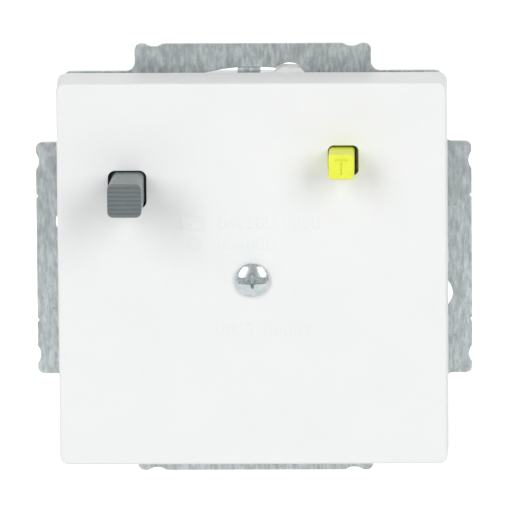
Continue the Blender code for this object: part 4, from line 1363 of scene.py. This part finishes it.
@dataclass
class TestButton:
    """The yellow button with an engraved T, its flange and its round stem."""

    size: float = 4.15
    corner: float = 0.6
    edge: float = 0.22
    bar: Pair = (2.0, 0.34)
    post: float = 0.34
    letter_height: float = 2.5
    depth: float = 0.22
    stem_radius: float = 1.1

    def build(self) -> None:
        """Builds the button and dresses it."""
        low, high = node_box("test_button")
        x, z = BUTTON_PLACES["test_button"]
        flange = FLANGE_FRONT
        head = pushed(rounded_face(self.size, self.size, self.corner, 8), low.y, flange + 0.6)
        bevelled(head, edges_at(head, lambda co: co.y < low.y + NEAR), self.edge, 4)
        top = self.letter_height / 2
        width, thick = self.bar
        letter = [
            block((-width / 2, low.y - 1, top - thick), (width / 2, low.y + self.depth, top)),
            block((-self.post / 2, low.y - 1, -top), (self.post / 2, low.y + self.depth, top - thick / 2)),
        ]
        head = softened(cut(head, joined(*letter)), 0.03, 2, 55)
        face = rounded_face(self.size + 2, self.size + 2, 0.3, 3)
        plate = softened(pushed(face, flange, flange + 1.0), 0.1)
        stem = pushed(round_face(self.stem_radius, 32), flange + 0.5, high.y)
        button = moved(merged(head, plate, stem), (x, 0.0, z))
        add_piece("test_button_finished", button, TEST_YELLOW, "test", ["test_button"])


# ---------------------------------------------------------------- pieces shaped from the frame's nodes

def node_shape(node: str) -> Shape:
    """A CAD node's own shape in millimetres, welded and with its flat faces whole again.

    Args:
        node: The CAD node's name.

    Returns:
        A copy of its shape.
    """
    obj = frame["nodes"][node]
    bm = bmesh.new()
    bm.from_mesh(obj.data)
    bm.transform(Matrix.Scale(1 / MM, 4) @ obj.matrix_world)
    bmesh.ops.remove_doubles(bm, verts=bm.verts, dist=1e-3)
    bmesh.ops.dissolve_limit(bm, angle_limit=radians(1.0), verts=bm.verts, edges=bm.edges)
    bmesh.ops.recalc_face_normals(bm, faces=bm.faces)
    return bm


@dataclass
class RoundedNode:
    """A CAD node with its sharp edges rounded off."""

    node: str
    body: str
    finish: Finish
    slot: str
    width: float = 0.15
    angle: float = 50.0

    def build(self) -> None:
        """Rounds the node's edges and dresses it."""
        shape = softened(node_shape(self.node), self.width, 2, self.angle)
        add_piece(f"{self.node}_finished", shape, self.finish, self.body, [self.node])


def dress_frame_nodes() -> None:
    """Gives every CAD node that still shows the finish of its material slot."""
    slots = {entry["node"]: entry["material_slot"] for entry in frame["record"]["subparts"]}
    for name, obj in frame["nodes"].items():
        obj.data.materials.clear()
        obj.data.materials.append(SLOT_FINISH[slots[name]].build())


# ---------------------------------------------------------------- housing

@dataclass
class HousingBase:
    """The tube behind the ring, with a parting groove and grip grooves along its corners."""

    edge: float = 0.25
    groove: float = 0.5
    groove_depth: float = 0.25
    groove_place: float = 31.0
    grip_count: int = 5
    grip_pitch: float = 3.0
    grip_width: float = 0.7
    grip_reach: Pair = (6.0, 26.0)
    size: float = 48.0
    corner: float = 15.0

    def band(self, front: float, rear: float) -> Shape:
        """A ring-shaped cutter that takes a shallow groove round the tube.

        Args:
            front: Y where the groove starts.
            rear: Y where it ends.

        Returns:
            The cutter.
        """
        slim = self.size - 2 * self.groove_depth
        ring = pushed(rounded_face(self.size + 4, self.size + 4, self.corner, 10), front, rear)
        core = pushed(rounded_face(slim, slim, self.corner - self.groove_depth, 10), front - 1, rear + 1)
        return cut(ring, core)

    def grips(self) -> list[Shape]:
        """Short upright grooves on the tube's left and right sides.

        Returns:
            A cutter for each groove.
        """
        cutters = []
        for side in (-1, 1):
            for i in range(self.grip_count):
                z = (i - (self.grip_count - 1) / 2) * self.grip_pitch
                x = side * self.size / 2
                low = (x - self.groove_depth, self.grip_reach[0], z - self.grip_width / 2)
                high = (x + self.groove_depth, self.grip_reach[1], z + self.grip_width / 2)
                cutters.append(block(low, high))
        return cutters

    def build(self) -> None:
        """Builds the tube and dresses it."""
        tube = node_shape("housing_base")
        grooved = cut(tube, self.band(self.groove_place, self.groove_place + self.groove), *self.grips())
        shape = softened(grooved, self.edge, 3, 50)
        nodes = ["housing_base"]
        add_piece("housing_base_finished", shape, HOUSING_WHITE, "housing", nodes)


@dataclass
class RearCover:
    """The rear wall, with a funnel round each wire entry and a plain sunk panel."""

    edge: float = 0.2
    entry: float = 4.6
    flare: float = 0.5
    funnel_corner: float = 1.2
    funnel_depth: float = 0.8
    narrowing: float = 0.6
    past: float = 0.02
    panel: Pair = (14.0, 6.0)
    panel_place: Pair = (0.0, 6.0)
    panel_depth: float = 0.3

    def funnels(self, rear: float) -> list[Shape]:
        """A cutter with sloped sides over each wire entry.

        Args:
            rear: Y of the cover's rear face.

        Returns:
            The cutters, in place.
        """
        cutters = []
        wide = self.entry + 2 * self.flare
        share = (self.entry - self.narrowing) / wide
        for x in (-TERMINAL_OFFSET, TERMINAL_OFFSET):
            for z in (-TERMINAL_LEVEL, TERMINAL_LEVEL):
                face = rounded_face(wide, wide, self.funnel_corner)
                funnel = pushed(face, rear - self.funnel_depth, rear + self.past)
                inner = [vert for vert in funnel.verts if vert.co.y < rear - self.flare / 2]
                bmesh.ops.scale(funnel, verts=inner, vec=(share, 1.0, share))
                cutters.append(moved(funnel, (x, 0.0, z)))
        return cutters

    def build(self) -> None:
        """Builds the cover and dresses it."""
        high = node_box("rear_cover")[1]
        width, height = self.panel
        face = rounded_face(width, height, 0.6)
        panel = pushed(face, high.y - self.panel_depth, high.y + 1, self.panel_place)
        shape = cut(node_shape("rear_cover"), panel, *self.funnels(high.y))
        shape = softened(shape, self.edge, 2, 40)
        add_piece("rear_cover_finished", shape, HOUSING_WHITE, "housing", ["rear_cover"])


@dataclass
class FixingScrew:
    """A slotted screw with a rolled thread, whose size and place come from its node."""

    node: str
    axis: Axis
    head_radius: float
    head_height: float
    shank: float
    outward: int
    pitch: float = 0.8
    slot_width: float = 0.6
    slot_depth: float = 0.6

    def build(self) -> None:
        """Builds the screw pointing along its axis and dresses it."""
        low, high = node_box(self.node)
        middle = (low + high) / 2
        along = Vector(self.axis.value) * self.outward
        length = abs((high - low).dot(along))
        top = length / 2
        r, seat = self.head_radius, top - self.head_height
        profile = [(0.0, top), (r - 0.35, top), (r - 0.1, top - 0.1), (r, top - 0.35)]
        profile += [(r, seat + 0.12), (r - 0.12, seat), (self.shank - 0.12, seat)]
        profile += [(self.shank - 0.12, top - length + 0.5), (self.shank - 0.5, top - length)]
        profile += [(0.0, top - length)]
        body = turned(profile, 48)
        half = self.slot_width / 2
        groove = block((-r - 1, top - self.slot_depth, -half), (r + 1, top + 1, half))
        head = softened(cut(body, groove), 0.05, 2, 50)
        turns = max((seat - (top - length) - 1.0) / self.pitch, 1.0)
        line = helix(self.shank - 0.12, top - length + 0.5, seat - 0.4, turns, 20, 0.1)
        thread = wire(line, 0.11, sides=2)
        screw = merged(head, thread)
        turn = Vector(Axis.Y.value).rotation_difference(along).to_matrix().to_4x4()
        screw.transform(Matrix.Translation(middle) @ turn)
        add_piece(f"{self.node}_finished", screw, BRIGHT_ZINC, "housing", [self.node])


# ---------------------------------------------------------------- springs and windings

@dataclass
class CoilSpring:
    """A compression spring along Y, wound inside its node's box."""

    node: str
    wire_radius: float
    turns: float
    joint: str = ""
    keep: float = 1.0
    pressed_body: str = ""

    def build(self) -> None:
        """Builds the spring and dresses it, with a mesh of its own for a spring on a joint."""
        low, high = node_box(self.node)
        middle = (low + high) / 2
        radius = (high.x - low.x) / 2 - self.wire_radius
        line = helix(radius, low.y + self.wire_radius, high.y - self.wire_radius, self.turns, 32, 0.75)
        coil = moved(wire(line, self.wire_radius, sides=3), (middle.x, 0.0, middle.z))
        body = "" if self.pressed_body else "housing"
        piece = add_piece(f"{self.node}_finished", coil, SPRING_WIRE, body, [self.node], 60)
        if self.joint:
            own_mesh(piece)
        if self.pressed_body:
            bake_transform(piece)


@dataclass
class ToroidWinding:
    """The secondary winding, laid turn by turn round part of the core."""

    strand: float = 0.17
    turns: int = 44
    turn_steps: int = 16
    spread: float = 54.0
    clearance: float = 0.45

    def loop_point(self, share: float, reach: Pair, depth: Pair) -> Pair:
        """A point round the core's rectangular section, as radius and Y.

        Args:
            share: How far round the section, from nought to one.
            reach: Inner and outer radius.
            depth: Front and rear Y.

        Returns:
            The point's radius and Y.
        """
        inner, outer = reach
        front, rear = depth
        section = [(outer, front), (outer, rear), (inner, rear), (inner, front)]
        place = share * len(section)
        side = int(place) % len(section)
        along = place - int(place)
        (radius, y), (next_radius, next_y) = section[side], section[(side + 1) % len(section)]
        return radius + (next_radius - radius) * along, y + (next_y - y) * along

    def build(self) -> None:
        """Builds the winding and dresses it."""
        core_low, core_high = node_box("transformer_core")
        reach = (CORE_BORE - self.clearance, core_high.x + self.clearance)
        depth = (core_low.y - self.clearance, core_high.y + self.clearance)
        points = []
        steps = self.turns * self.turn_steps
        for i in range(steps + 1):
            angle = radians(90 + self.spread * (1 - 2 * i / steps))
            radius, y = self.loop_point((i % self.turn_steps) / self.turn_steps, reach, depth)
            points.append(Vector((radius * cos(angle), y, radius * sin(angle))))
        coil = wire(points, self.strand, sides=1)
        add_piece(
            "secondary_winding_finished", merged(coil), ENAMEL, "housing",
            ["secondary_winding"], 60,
        )


@dataclass
class RelayWinding:
    """The trip relay's coil, wound in one visible layer over a solid core of wire."""

    strand: float = 0.13
    inset: float = 0.14
    rounding: float = 0.3
    skin: float = 0.6
    corner: float = 0.4

    def build(self) -> None:
        """Builds the winding and dresses it."""
        low, high = node_box("relay_winding")
        body = softened(node_shape("relay_winding"), self.rounding, 3, 50)
        middle = (low + high) / 2
        bmesh.ops.translate(body, verts=body.verts, vec=-middle)
        size = high - low
        share = Vector((1 - 2 * self.inset / size.x, 1.0, 1 - 2 * self.inset / size.z))
        reach_x, reach_z = size.x / 2 - self.skin, size.z / 2 - self.skin
        outer = [vert for vert in body.verts if abs(vert.co.x) > reach_x or abs(vert.co.z) > reach_z]
        bmesh.ops.scale(body, verts=outer, vec=share)
        bmesh.ops.translate(body, verts=body.verts, vec=middle)
        half_x, half_z = size.x / 2 - self.strand, size.z / 2 - self.strand
        loop = ordered_outline(rounded_face(2 * half_x, 2 * half_z, self.corner, 3))
        turns = int((size.y - 2 * self.strand) / (2 * self.strand))
        points = []
        for i in range(turns * len(loop) + 1):
            share_y = i / (turns * len(loop))
            at = loop[i % len(loop)]
            y = low.y + self.strand + (size.y - 2 * self.strand) * share_y
            points.append(Vector((middle.x + at[0], y, middle.z + at[1])))
        coil = wire(points, self.strand, sides=1)
        add_piece(
            "relay_winding_finished", merged(body, coil), ENAMEL, "housing",
            ["relay_winding"], 60,
        )


def ordered_outline(bm: Shape) -> list[Pair]:
    """The X and Z of a flat face's corners in order round it, and the bmesh freed.

    Args:
        bm: A bmesh with one flat face.

    Returns:
        The corners' X and Z.
    """
    face = next(iter(bm.faces))
    points = [(vert.co.x, vert.co.z) for vert in face.verts]
    bm.free()
    return points


@dataclass
class TransformerCore:
    """A tape-wound ring core, whose faces show the edges of the tape."""

    layers: int = 10
    step: float = 0.06

    def build(self) -> None:
        """Builds the core and dresses it."""
        low, high = node_box("transformer_core")
        width = (high.x - CORE_BORE) / self.layers
        front, rear = [], []
        for i in range(self.layers):
            near, far = CORE_BORE + i * width, CORE_BORE + (i + 1) * width
            sunk = self.step if i % 2 else 0.0
            front += [(near, low.y + sunk), (far, low.y + sunk)]
            rear += [(near, high.y - sunk), (far, high.y - sunk)]
        profile = front + list(reversed(rear))
        core = turned(profile, 96)
        nodes = ["transformer_core"]
        add_piece("transformer_core_finished", core, CORE_TAPE, "housing", nodes, 25)


# ---------------------------------------------------------------- electronics

@dataclass
class CircuitBoard:
    """The board with its tracks, solder joints and the leads of its components."""

    track: float = 0.05
    track_width: float = 0.7
    joint_radius: float = 0.75
    lead: float = 0.3

    resistor_place: Pair = (20.5, 8.0)
    resistor_reach: float = 4.2
    resistor_half: float = 3.1
    resistor_lift: float = 1.5
    capacitor_place: Pair = (10.0, 2.0)
    rectifier_place: Pair = (20.0, -2.0)
    varistor_place: Pair = (10.0, -7.75)
    leaf_place: Pair = (14.6, 7.4)
    routes: tuple[tuple[int, int], ...] = ((0, 7), (1, 10), (2, 8), (3, 6), (4, 9), (5, 7), (10, 3))

    def pads(self) -> list[Pair]:
        """Where the leads come through the board.

        Returns:
            X and Z of the two resistor pads, two capacitor pads, four rectifier pads, two varistor
            pads and the test leaf's pad.
        """
        x, z = self.resistor_place
        pads = [(x, z - self.resistor_reach), (x, z + self.resistor_reach)]
        x, z = self.capacitor_place
        pads += [(x - 1.1, z), (x + 1.1, z)]
        x, z = self.rectifier_place
        pads += [(x + side, z + level) for level in (-2.0, 2.0) for side in (-2.0, 2.0)]
        x, z = self.varistor_place
        pads += [(x - 2.0, z), (x + 2.0, z)]
        return pads + [self.leaf_place]

    def tracks(self, rear: float) -> Shape:
        """Copper tracks on the board's rear face, each a flat bar between two pads.

        Args:
            rear: Y of the board's rear face.

        Returns:
            The tracks, in place.
        """
        shapes = []
        pads = self.pads()
        half, top = self.track_width / 2, rear + self.track
        for first, last in self.routes:
            (x0, z0), (x1, z1) = pads[first], pads[last]
            upright = (x0 - half, rear, min(z0, z1) - half), (x0 + half, top, max(z0, z1) + half)
            level = (min(x0, x1) - half, rear, z1 - half), (max(x0, x1) + half, top, z1 + half)
            shapes += [block(*upright), block(*level)]
        return merged(*shapes)

    def solder(self, rear: float) -> Shape:
        """A small cone of solder on each pad.

        Args:
            rear: Y of the board's rear face.

        Returns:
            The cones, in place.
        """
        cones = []
        for x, z in self.pads():
            wide = self.joint_radius
            profile = [(0.0, rear - 0.02), (wide, rear - 0.02), (wide * 0.55, rear + 0.18)]
            profile += [(0.2, rear + 0.45), (0.0, rear + 0.5)]
            cones.append(turned(profile, 20, centre=(x, 0.0, z)))
        return merged(*cones)

    def leads(self, front: float) -> Shape:
        """The bent leads of the resistor and the straight leads of the rest.

        Args:
            front: Y of the board's front face.

        Returns:
            The leads, in place.
        """
        shapes = []
        x, middle = self.resistor_place
        top = front - self.resistor_lift
        for side in (1, -1):
            end = middle + side * self.resistor_reach
            bend = [(top, middle + side * self.resistor_half), (top, end - side * 0.35)]
            bend += [(top + 0.12, end - side * 0.08), (top + 0.4, end), (front + 0.6, end)]
            shapes.append(wire([Vector((x, y, z)) for y, z in bend], self.lead, sides=3))
        for x, z in self.pads()[2:10]:
            shapes.append(pushed(round_face(self.lead, 12), front - 0.5, front + 0.6, (x, z)))
        return merged(*shapes)

    def build(self) -> None:
        """Builds the board, its tracks, its solder and the leads."""
        low, high = node_box("circuit_board")
        board = softened(node_shape("circuit_board"), 0.08, 2, 50)
        add_piece("circuit_board_finished", board, BOARD_GREEN, "housing", ["circuit_board"])
        add_piece("board_tracks", self.tracks(high.y), COPPER, "housing", [])
        add_piece("board_solder", self.solder(high.y), SOLDER, "housing", [])
        add_piece("component_leads", self.leads(low.y), SOLDER, "housing", [])


@dataclass
class Resistor:
    """The test circuit's resistor with plain colour bands."""

    radius: float = 1.2
    waist: float = 1.02
    bands: tuple[float, ...] = (-1.35, -0.65, 0.05, 1.3)
    band_width: float = 0.34

    def build(self) -> None:
        """Builds the body and its bands."""
        low, high = node_box("test_resistor")
        middle = (low + high) / 2
        half = (high.z - low.z) / 2
        r, w = self.radius, self.waist
        side = [(0.0, half), (r * 0.6, half), (r * 0.92, half - 0.15), (r, half - 0.45), (r, half - 1.2)]
        side += [(r * 0.95, half - 1.5), (w, half - 1.75)]
        profile = side + [(radius, -place) for radius, place in reversed(side)]
        body = turned(profile, 40, Axis.Z, (middle.x, middle.y, middle.z))
        nodes = ["test_resistor"]
        add_piece("test_resistor_finished", body, RESISTOR_BLUE, "housing", nodes, 50)
        for number, place in enumerate(self.bands, 1):
            start, end = place - self.band_width / 2, place + self.band_width / 2
            ring = [(w - 0.05, start), (w + 0.02, start), (w + 0.02, end), (w - 0.05, end)]
            band = turned(ring, 40, Axis.Z, (middle.x, middle.y, middle.z))
            finish = BAND_BROWN if number < 4 else BAND_GOLD
            add_piece(f"resistor_band_{number}", band, finish, "housing", [], 50)


@dataclass
class Capacitor:
    """An upright can with a crimped foot, a sleeve and a scored top."""

    radius: float = 2.4
    crimp: float = 0.25
    score: float = 0.12

    def build(self) -> None:
        """Builds the can in its sleeve and the bare metal top."""
        low, high = node_box("smoothing_capacitor")
        x, z = (low.x + high.x) / 2, (low.z + high.z) / 2
        r, front, rear = self.radius, low.y, high.y
        profile = [(0.0, rear), (r - 0.25, rear), (r - 0.05, rear - 0.2), (r, rear - 0.45)]
        profile += [(r, rear - 0.8), (r - self.crimp, rear - 1.1), (r, rear - 1.4), (r, front + 0.35)]
        profile += [(r - 0.12, front + 0.12), (r - 0.35, front + 0.04), (r - 0.5, front + 0.12)]
        profile += [(0.0, front + 0.12)]
        can = turned(profile, 48, centre=(x, 0.0, z))
        add_piece(
            "smoothing_capacitor_finished", can, SLEEVE_BLUE, "housing",
            ["smoothing_capacitor"], 40,
        )
        lid = pushed(round_face(r - 0.55, 40), front + 0.02, front + 0.2)
        half = self.score / 2
        across = block((-r, front - 1, -half), (r, front + 0.1, half))
        upright = block((-half, front - 1, -r), (half, front + 0.1, r))
        lid = moved(cut(lid, across, upright), (x, 0.0, z))
        add_piece("capacitor_lid", lid, SOLDER, "housing", [])


@dataclass
class ContactPads:
    """Thin silver faces on the contacts' pads."""

    radius: float = 1.12
    thickness: float = 0.12
    proud: float = 0.01
    edge: float = 0.06

    def build(self) -> None:
        """Builds one silver face for each pad."""
        for pole, x in (("line", -TERMINAL_OFFSET), ("neutral", TERMINAL_OFFSET)):
            moving = node_box(f"moving_contact_{pole}")[1].y
            faces = []
            for z in CONTACT_LEVELS.values():
                disc = round_face(self.radius, 32)
                face = pushed(disc, moving - self.thickness, moving + self.proud, (x, z))
                faces.append(bevelled(face, edges_at(face, lambda co: co.y > moving), self.edge, 2))
            add_piece(f"moving_pads_{pole}", merged(*faces), SILVER, "carrier", [])
            for role, z in CONTACT_LEVELS.items():
                fixed = node_box(f"fixed_contact_{pole}_{role}")[0].y
                disc = round_face(self.radius, 32)
                face = pushed(disc, fixed - self.proud, fixed + self.thickness, (x, z))
                bevelled(face, edges_at(face, lambda co: co.y < fixed), self.edge, 2)
                add_piece(f"fixed_pad_{pole}_{role}", face, SILVER, "housing", [])


def rounded_nodes() -> list[RoundedNode]:
    """Every node that keeps its own shape and only has its edges rounded.

    Returns:
        One piece for each node.
    """
    plain = [
        ("housing_deck", "housing", HOUSING_WHITE, "housing_white", 0.25),
        ("mechanism_chassis", "housing", MECHANISM_GREY, "mechanism_grey", 0.2),
        ("test_contact_leaf", "test_leaf", COPPER, "contact_copper", 0.06),
        ("test_contact_foot", "housing", COPPER, "contact_copper", 0.12),
        ("rectifier", "housing", BLACK_PLASTIC, "black_plastic", 0.2),
        ("surge_varistor", "housing", VARISTOR_AMBER, "varistor_amber", 0.6),
        ("contact_carrier", "carrier", BLACK_PLASTIC, "black_plastic", 0.25),
        ("arc_barrier", "housing", HOUSING_WHITE, "housing_white", 0.2),
        ("relay_yoke", "housing", SOFT_IRON, "soft_iron", 0.15),
        ("relay_bobbin", "housing", BLACK_PLASTIC, "black_plastic", 0.12),
        ("relay_magnet", "housing", CORE_TAPE, "core_tape", 0.15),
        ("relay_armature", "armature", SOFT_IRON, "soft_iron", 0.12),
        ("trip_lever", "trip", MECHANISM_GREY, "mechanism_grey", 0.15),
        ("latch_lever", "latch", MECHANISM_GREY, "mechanism_grey", 0.15),
        ("trip_lever_pin", "housing", SPRING_WIRE, "spring_steel", 0.12),
        ("latch_lever_pin", "housing", SPRING_WIRE, "spring_steel", 0.12),
    ]
    for pole in ("line", "neutral"):
        plain.append((f"moving_contact_{pole}", "carrier", COPPER, "contact_copper", 0.12))
        plain.append((f"primary_conductor_{pole}", "housing", COPPER, "contact_copper", 0.1))
        for role in ("supply", "load"):
            plain.append((f"fixed_contact_{pole}_{role}", "housing", COPPER, "contact_copper", 0.12))
            plain.append((f"terminal_cage_{pole}_{role}", "housing", BRASS, "terminal_brass", 0.25))
    return [RoundedNode(node, body, finish, slot, width) for node, body, finish, slot, width in plain]


def fixing_screws() -> list[FixingScrew]:
    """The screws that hold the housing and the ones in the terminals.

    Returns:
        One piece for each screw.
    """
    screws = [FixingScrew(f"housing_screw_{number}", Axis.Y, 2.0, 1.0, 1.0, 1) for number in (1, 2)]
    for pole in ("line", "neutral"):
        for role, outward in (("supply", 1), ("load", -1)):
            node = f"terminal_screw_{pole}_{role}"
            screws.append(FixingScrew(node, Axis.Z, 1.9, 1.4, 1.5, outward, slot_depth=0.7))
    return screws


# ---------------------------------------------------------------- studio

@dataclass
class Studio:
    """A pale floor that curves up behind, two soft boxes and the camera."""

    yaw: float = 1.454
    elevation: float = 11.58
    roll: float = -0.46
    distance: float = 1.874
    lens: float = 810.5
    aim_right: float = 0.00009
    aim_up: float = 0.00021
    floor_drop: float = 0.30
    floor_depth: float = 1.6
    floor_half: float = 1.2
    floor_bend: float = 0.5
    wall_height: float = 2.0
    world_strength: float = 0.43
    box_place: Point = (0.95, -1.0, 0.6)
    box_size: Pair = (0.6, 1.1)
    box_power: float = 10.2
    backdrop_power: float = 14.0

    def camera(self) -> None:
        """Places the camera at its distance, turned, raised and rolled."""
        data = bpy.data.cameras.new("camera")
        data.lens = self.lens
        data.sensor_width = 36.0
        data.clip_start = 0.05
        data.clip_end = 20.0
        camera = bpy.data.objects.new("camera", data)
        bpy.context.scene.collection.objects.link(camera)
        turn = (
            Matrix.Rotation(radians(self.yaw), 4, "Z")
            @ Matrix.Rotation(radians(90 - self.elevation), 4, "X")
            @ Matrix.Rotation(radians(self.roll), 4, "Z")
        )
        camera.matrix_world = turn @ Matrix.Translation((self.aim_right, self.aim_up, self.distance))
        bpy.context.scene.camera = camera

    def floor(self) -> None:
        """A floor and a wall behind it in one bent sheet."""
        bm = bmesh.new()
        bmesh.ops.create_grid(bm, x_segments=1, y_segments=1, size=self.floor_half)
        back_shift = self.floor_depth - self.floor_half
        bmesh.ops.translate(bm, verts=bm.verts, vec=(0.0, back_shift, -self.floor_drop))
        back = edges_at(bm, lambda co: co.y > self.floor_depth - NEAR)
        grown = bmesh.ops.extrude_edge_only(bm, edges=back)
        upper = [part for part in grown["geom"] if isinstance(part, bmesh.types.BMVert)]
        bmesh.ops.translate(bm, verts=upper, vec=(0.0, 0.0, self.wall_height))
        corner = edges_at(bm, lambda co: co.y > self.floor_depth - NEAR and co.z < -self.floor_drop + NEAR)
        bevelled(bm, corner, self.floor_bend, 16)
        bmesh.ops.recalc_face_normals(bm, faces=bm.faces)
        lowest = min(bm.faces, key=lambda face: face.calc_center_median().z)
        if lowest.normal.z < 0:
            bmesh.ops.reverse_faces(bm, faces=bm.faces)
        sheet = object_of("floor", bm)
        sheet.data.shade_smooth()
        sheet.data.materials.append(self.paper())

    def paper(self) -> bpy.types.Material:
        """The sheet's pale matt paper, which is clear from behind so that the back can be seen.

        Returns:
            The material.
        """
        paper = bpy.data.materials.new("floor_paper")
        paper.use_nodes = True
        tree = paper.node_tree
        shader = tree.nodes["Principled BSDF"]
        shader.inputs["Base Color"].default_value = (0.9, 0.9, 0.9, 1.0)
        shader.inputs["Roughness"].default_value = 0.9
        side = tree.nodes.new("ShaderNodeNewGeometry")
        clear = tree.nodes.new("ShaderNodeBsdfTransparent")
        either = tree.nodes.new("ShaderNodeMixShader")
        tree.links.new(side.outputs["Backfacing"], either.inputs["Fac"])
        tree.links.new(shader.outputs["BSDF"], either.inputs[1])
        tree.links.new(clear.outputs["BSDF"], either.inputs[2])
        tree.links.new(either.outputs["Shader"], tree.nodes["Material Output"].inputs["Surface"])
        return paper

    def softbox(
        self, name: str, place: Point, size: Pair, power: float, aim: Point = (0.0, 0.0, 0.0)
    ) -> None:
        """Adds one rectangular soft light that faces a point.

        Args:
            name: The light's name.
            place: Its middle, in metres.
            size: Its width and height, in metres.
            power: Its power in watts.
            aim: The point that it faces.
        """
        data = bpy.data.lights.new(name, "AREA")
        data.shape = "RECTANGLE"
        data.size, data.size_y = size
        data.energy = power
        light = bpy.data.objects.new(name, data)
        bpy.context.scene.collection.objects.link(light)
        light.location = place
        light.rotation_euler = (Vector(aim) - Vector(place)).to_track_quat("-Z", "Y").to_euler()

    def world(self, strength: float) -> None:
        """Even light from all round.

        Args:
            strength: The light's strength.
        """
        world = bpy.data.worlds.new("surround")
        world.use_nodes = True
        shade = world.node_tree.nodes["Background"]
        shade.inputs["Color"].default_value = (1.0, 1.0, 1.0, 1.0)
        shade.inputs["Strength"].default_value = strength
        bpy.context.scene.world = world

    def build(self) -> None:
        """Builds the whole studio."""
        bpy.context.scene.view_settings.view_transform = "Standard"
        self.camera()
        self.floor()
        self.world(self.world_strength)
        across, forward, up = self.box_place
        self.softbox("left_box", (-across, forward, up), self.box_size, self.box_power)
        self.softbox("right_box", (across, forward, up), self.box_size, self.box_power)
        backdrop = (0.0, self.floor_depth, -0.1)
        self.softbox("backdrop_light", (0.0, 0.7, 0.8), (1.6, 0.4), self.backdrop_power, backdrop)


# ---------------------------------------------------------------- the whole scene

def corners(box: tuple[Vector, Vector]) -> list[list[float]]:
    """A box as plain lists of numbers."""
    return [list(box[0]), list(box[1])]


def main() -> None:
    """Builds every sub-assembly in order."""
    logging.basicConfig(level=logging.INFO, format="%(message)s")
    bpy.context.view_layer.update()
    dress_frame_nodes()
    outside = [
        SupportRing(), CoverPlate(), CoverRelief(), PlateScrew(),
        ResetButton(), TestButton(), HousingBase(), RearCover(),
    ]
    springs = [
        CoilSpring("reset_spring", 0.25, 6.5, "reset_slide", 0.574),
        CoilSpring("opening_spring", 0.25, 8.0, "carrier_slide", 0.646),
        CoilSpring("armature_spring", 0.2, 6.0, pressed_body="armature"),
    ]
    inside = [
        CircuitBoard(), Resistor(), Capacitor(), TransformerCore(),
        ToroidWinding(), RelayWinding(), ContactPads(),
    ]
    for part in outside + fixing_screws() + springs + inside + rounded_nodes():
        part.build()
    Studio().build()
    bpy.context.view_layer.update()


if __name__ == "__main__":
    main()
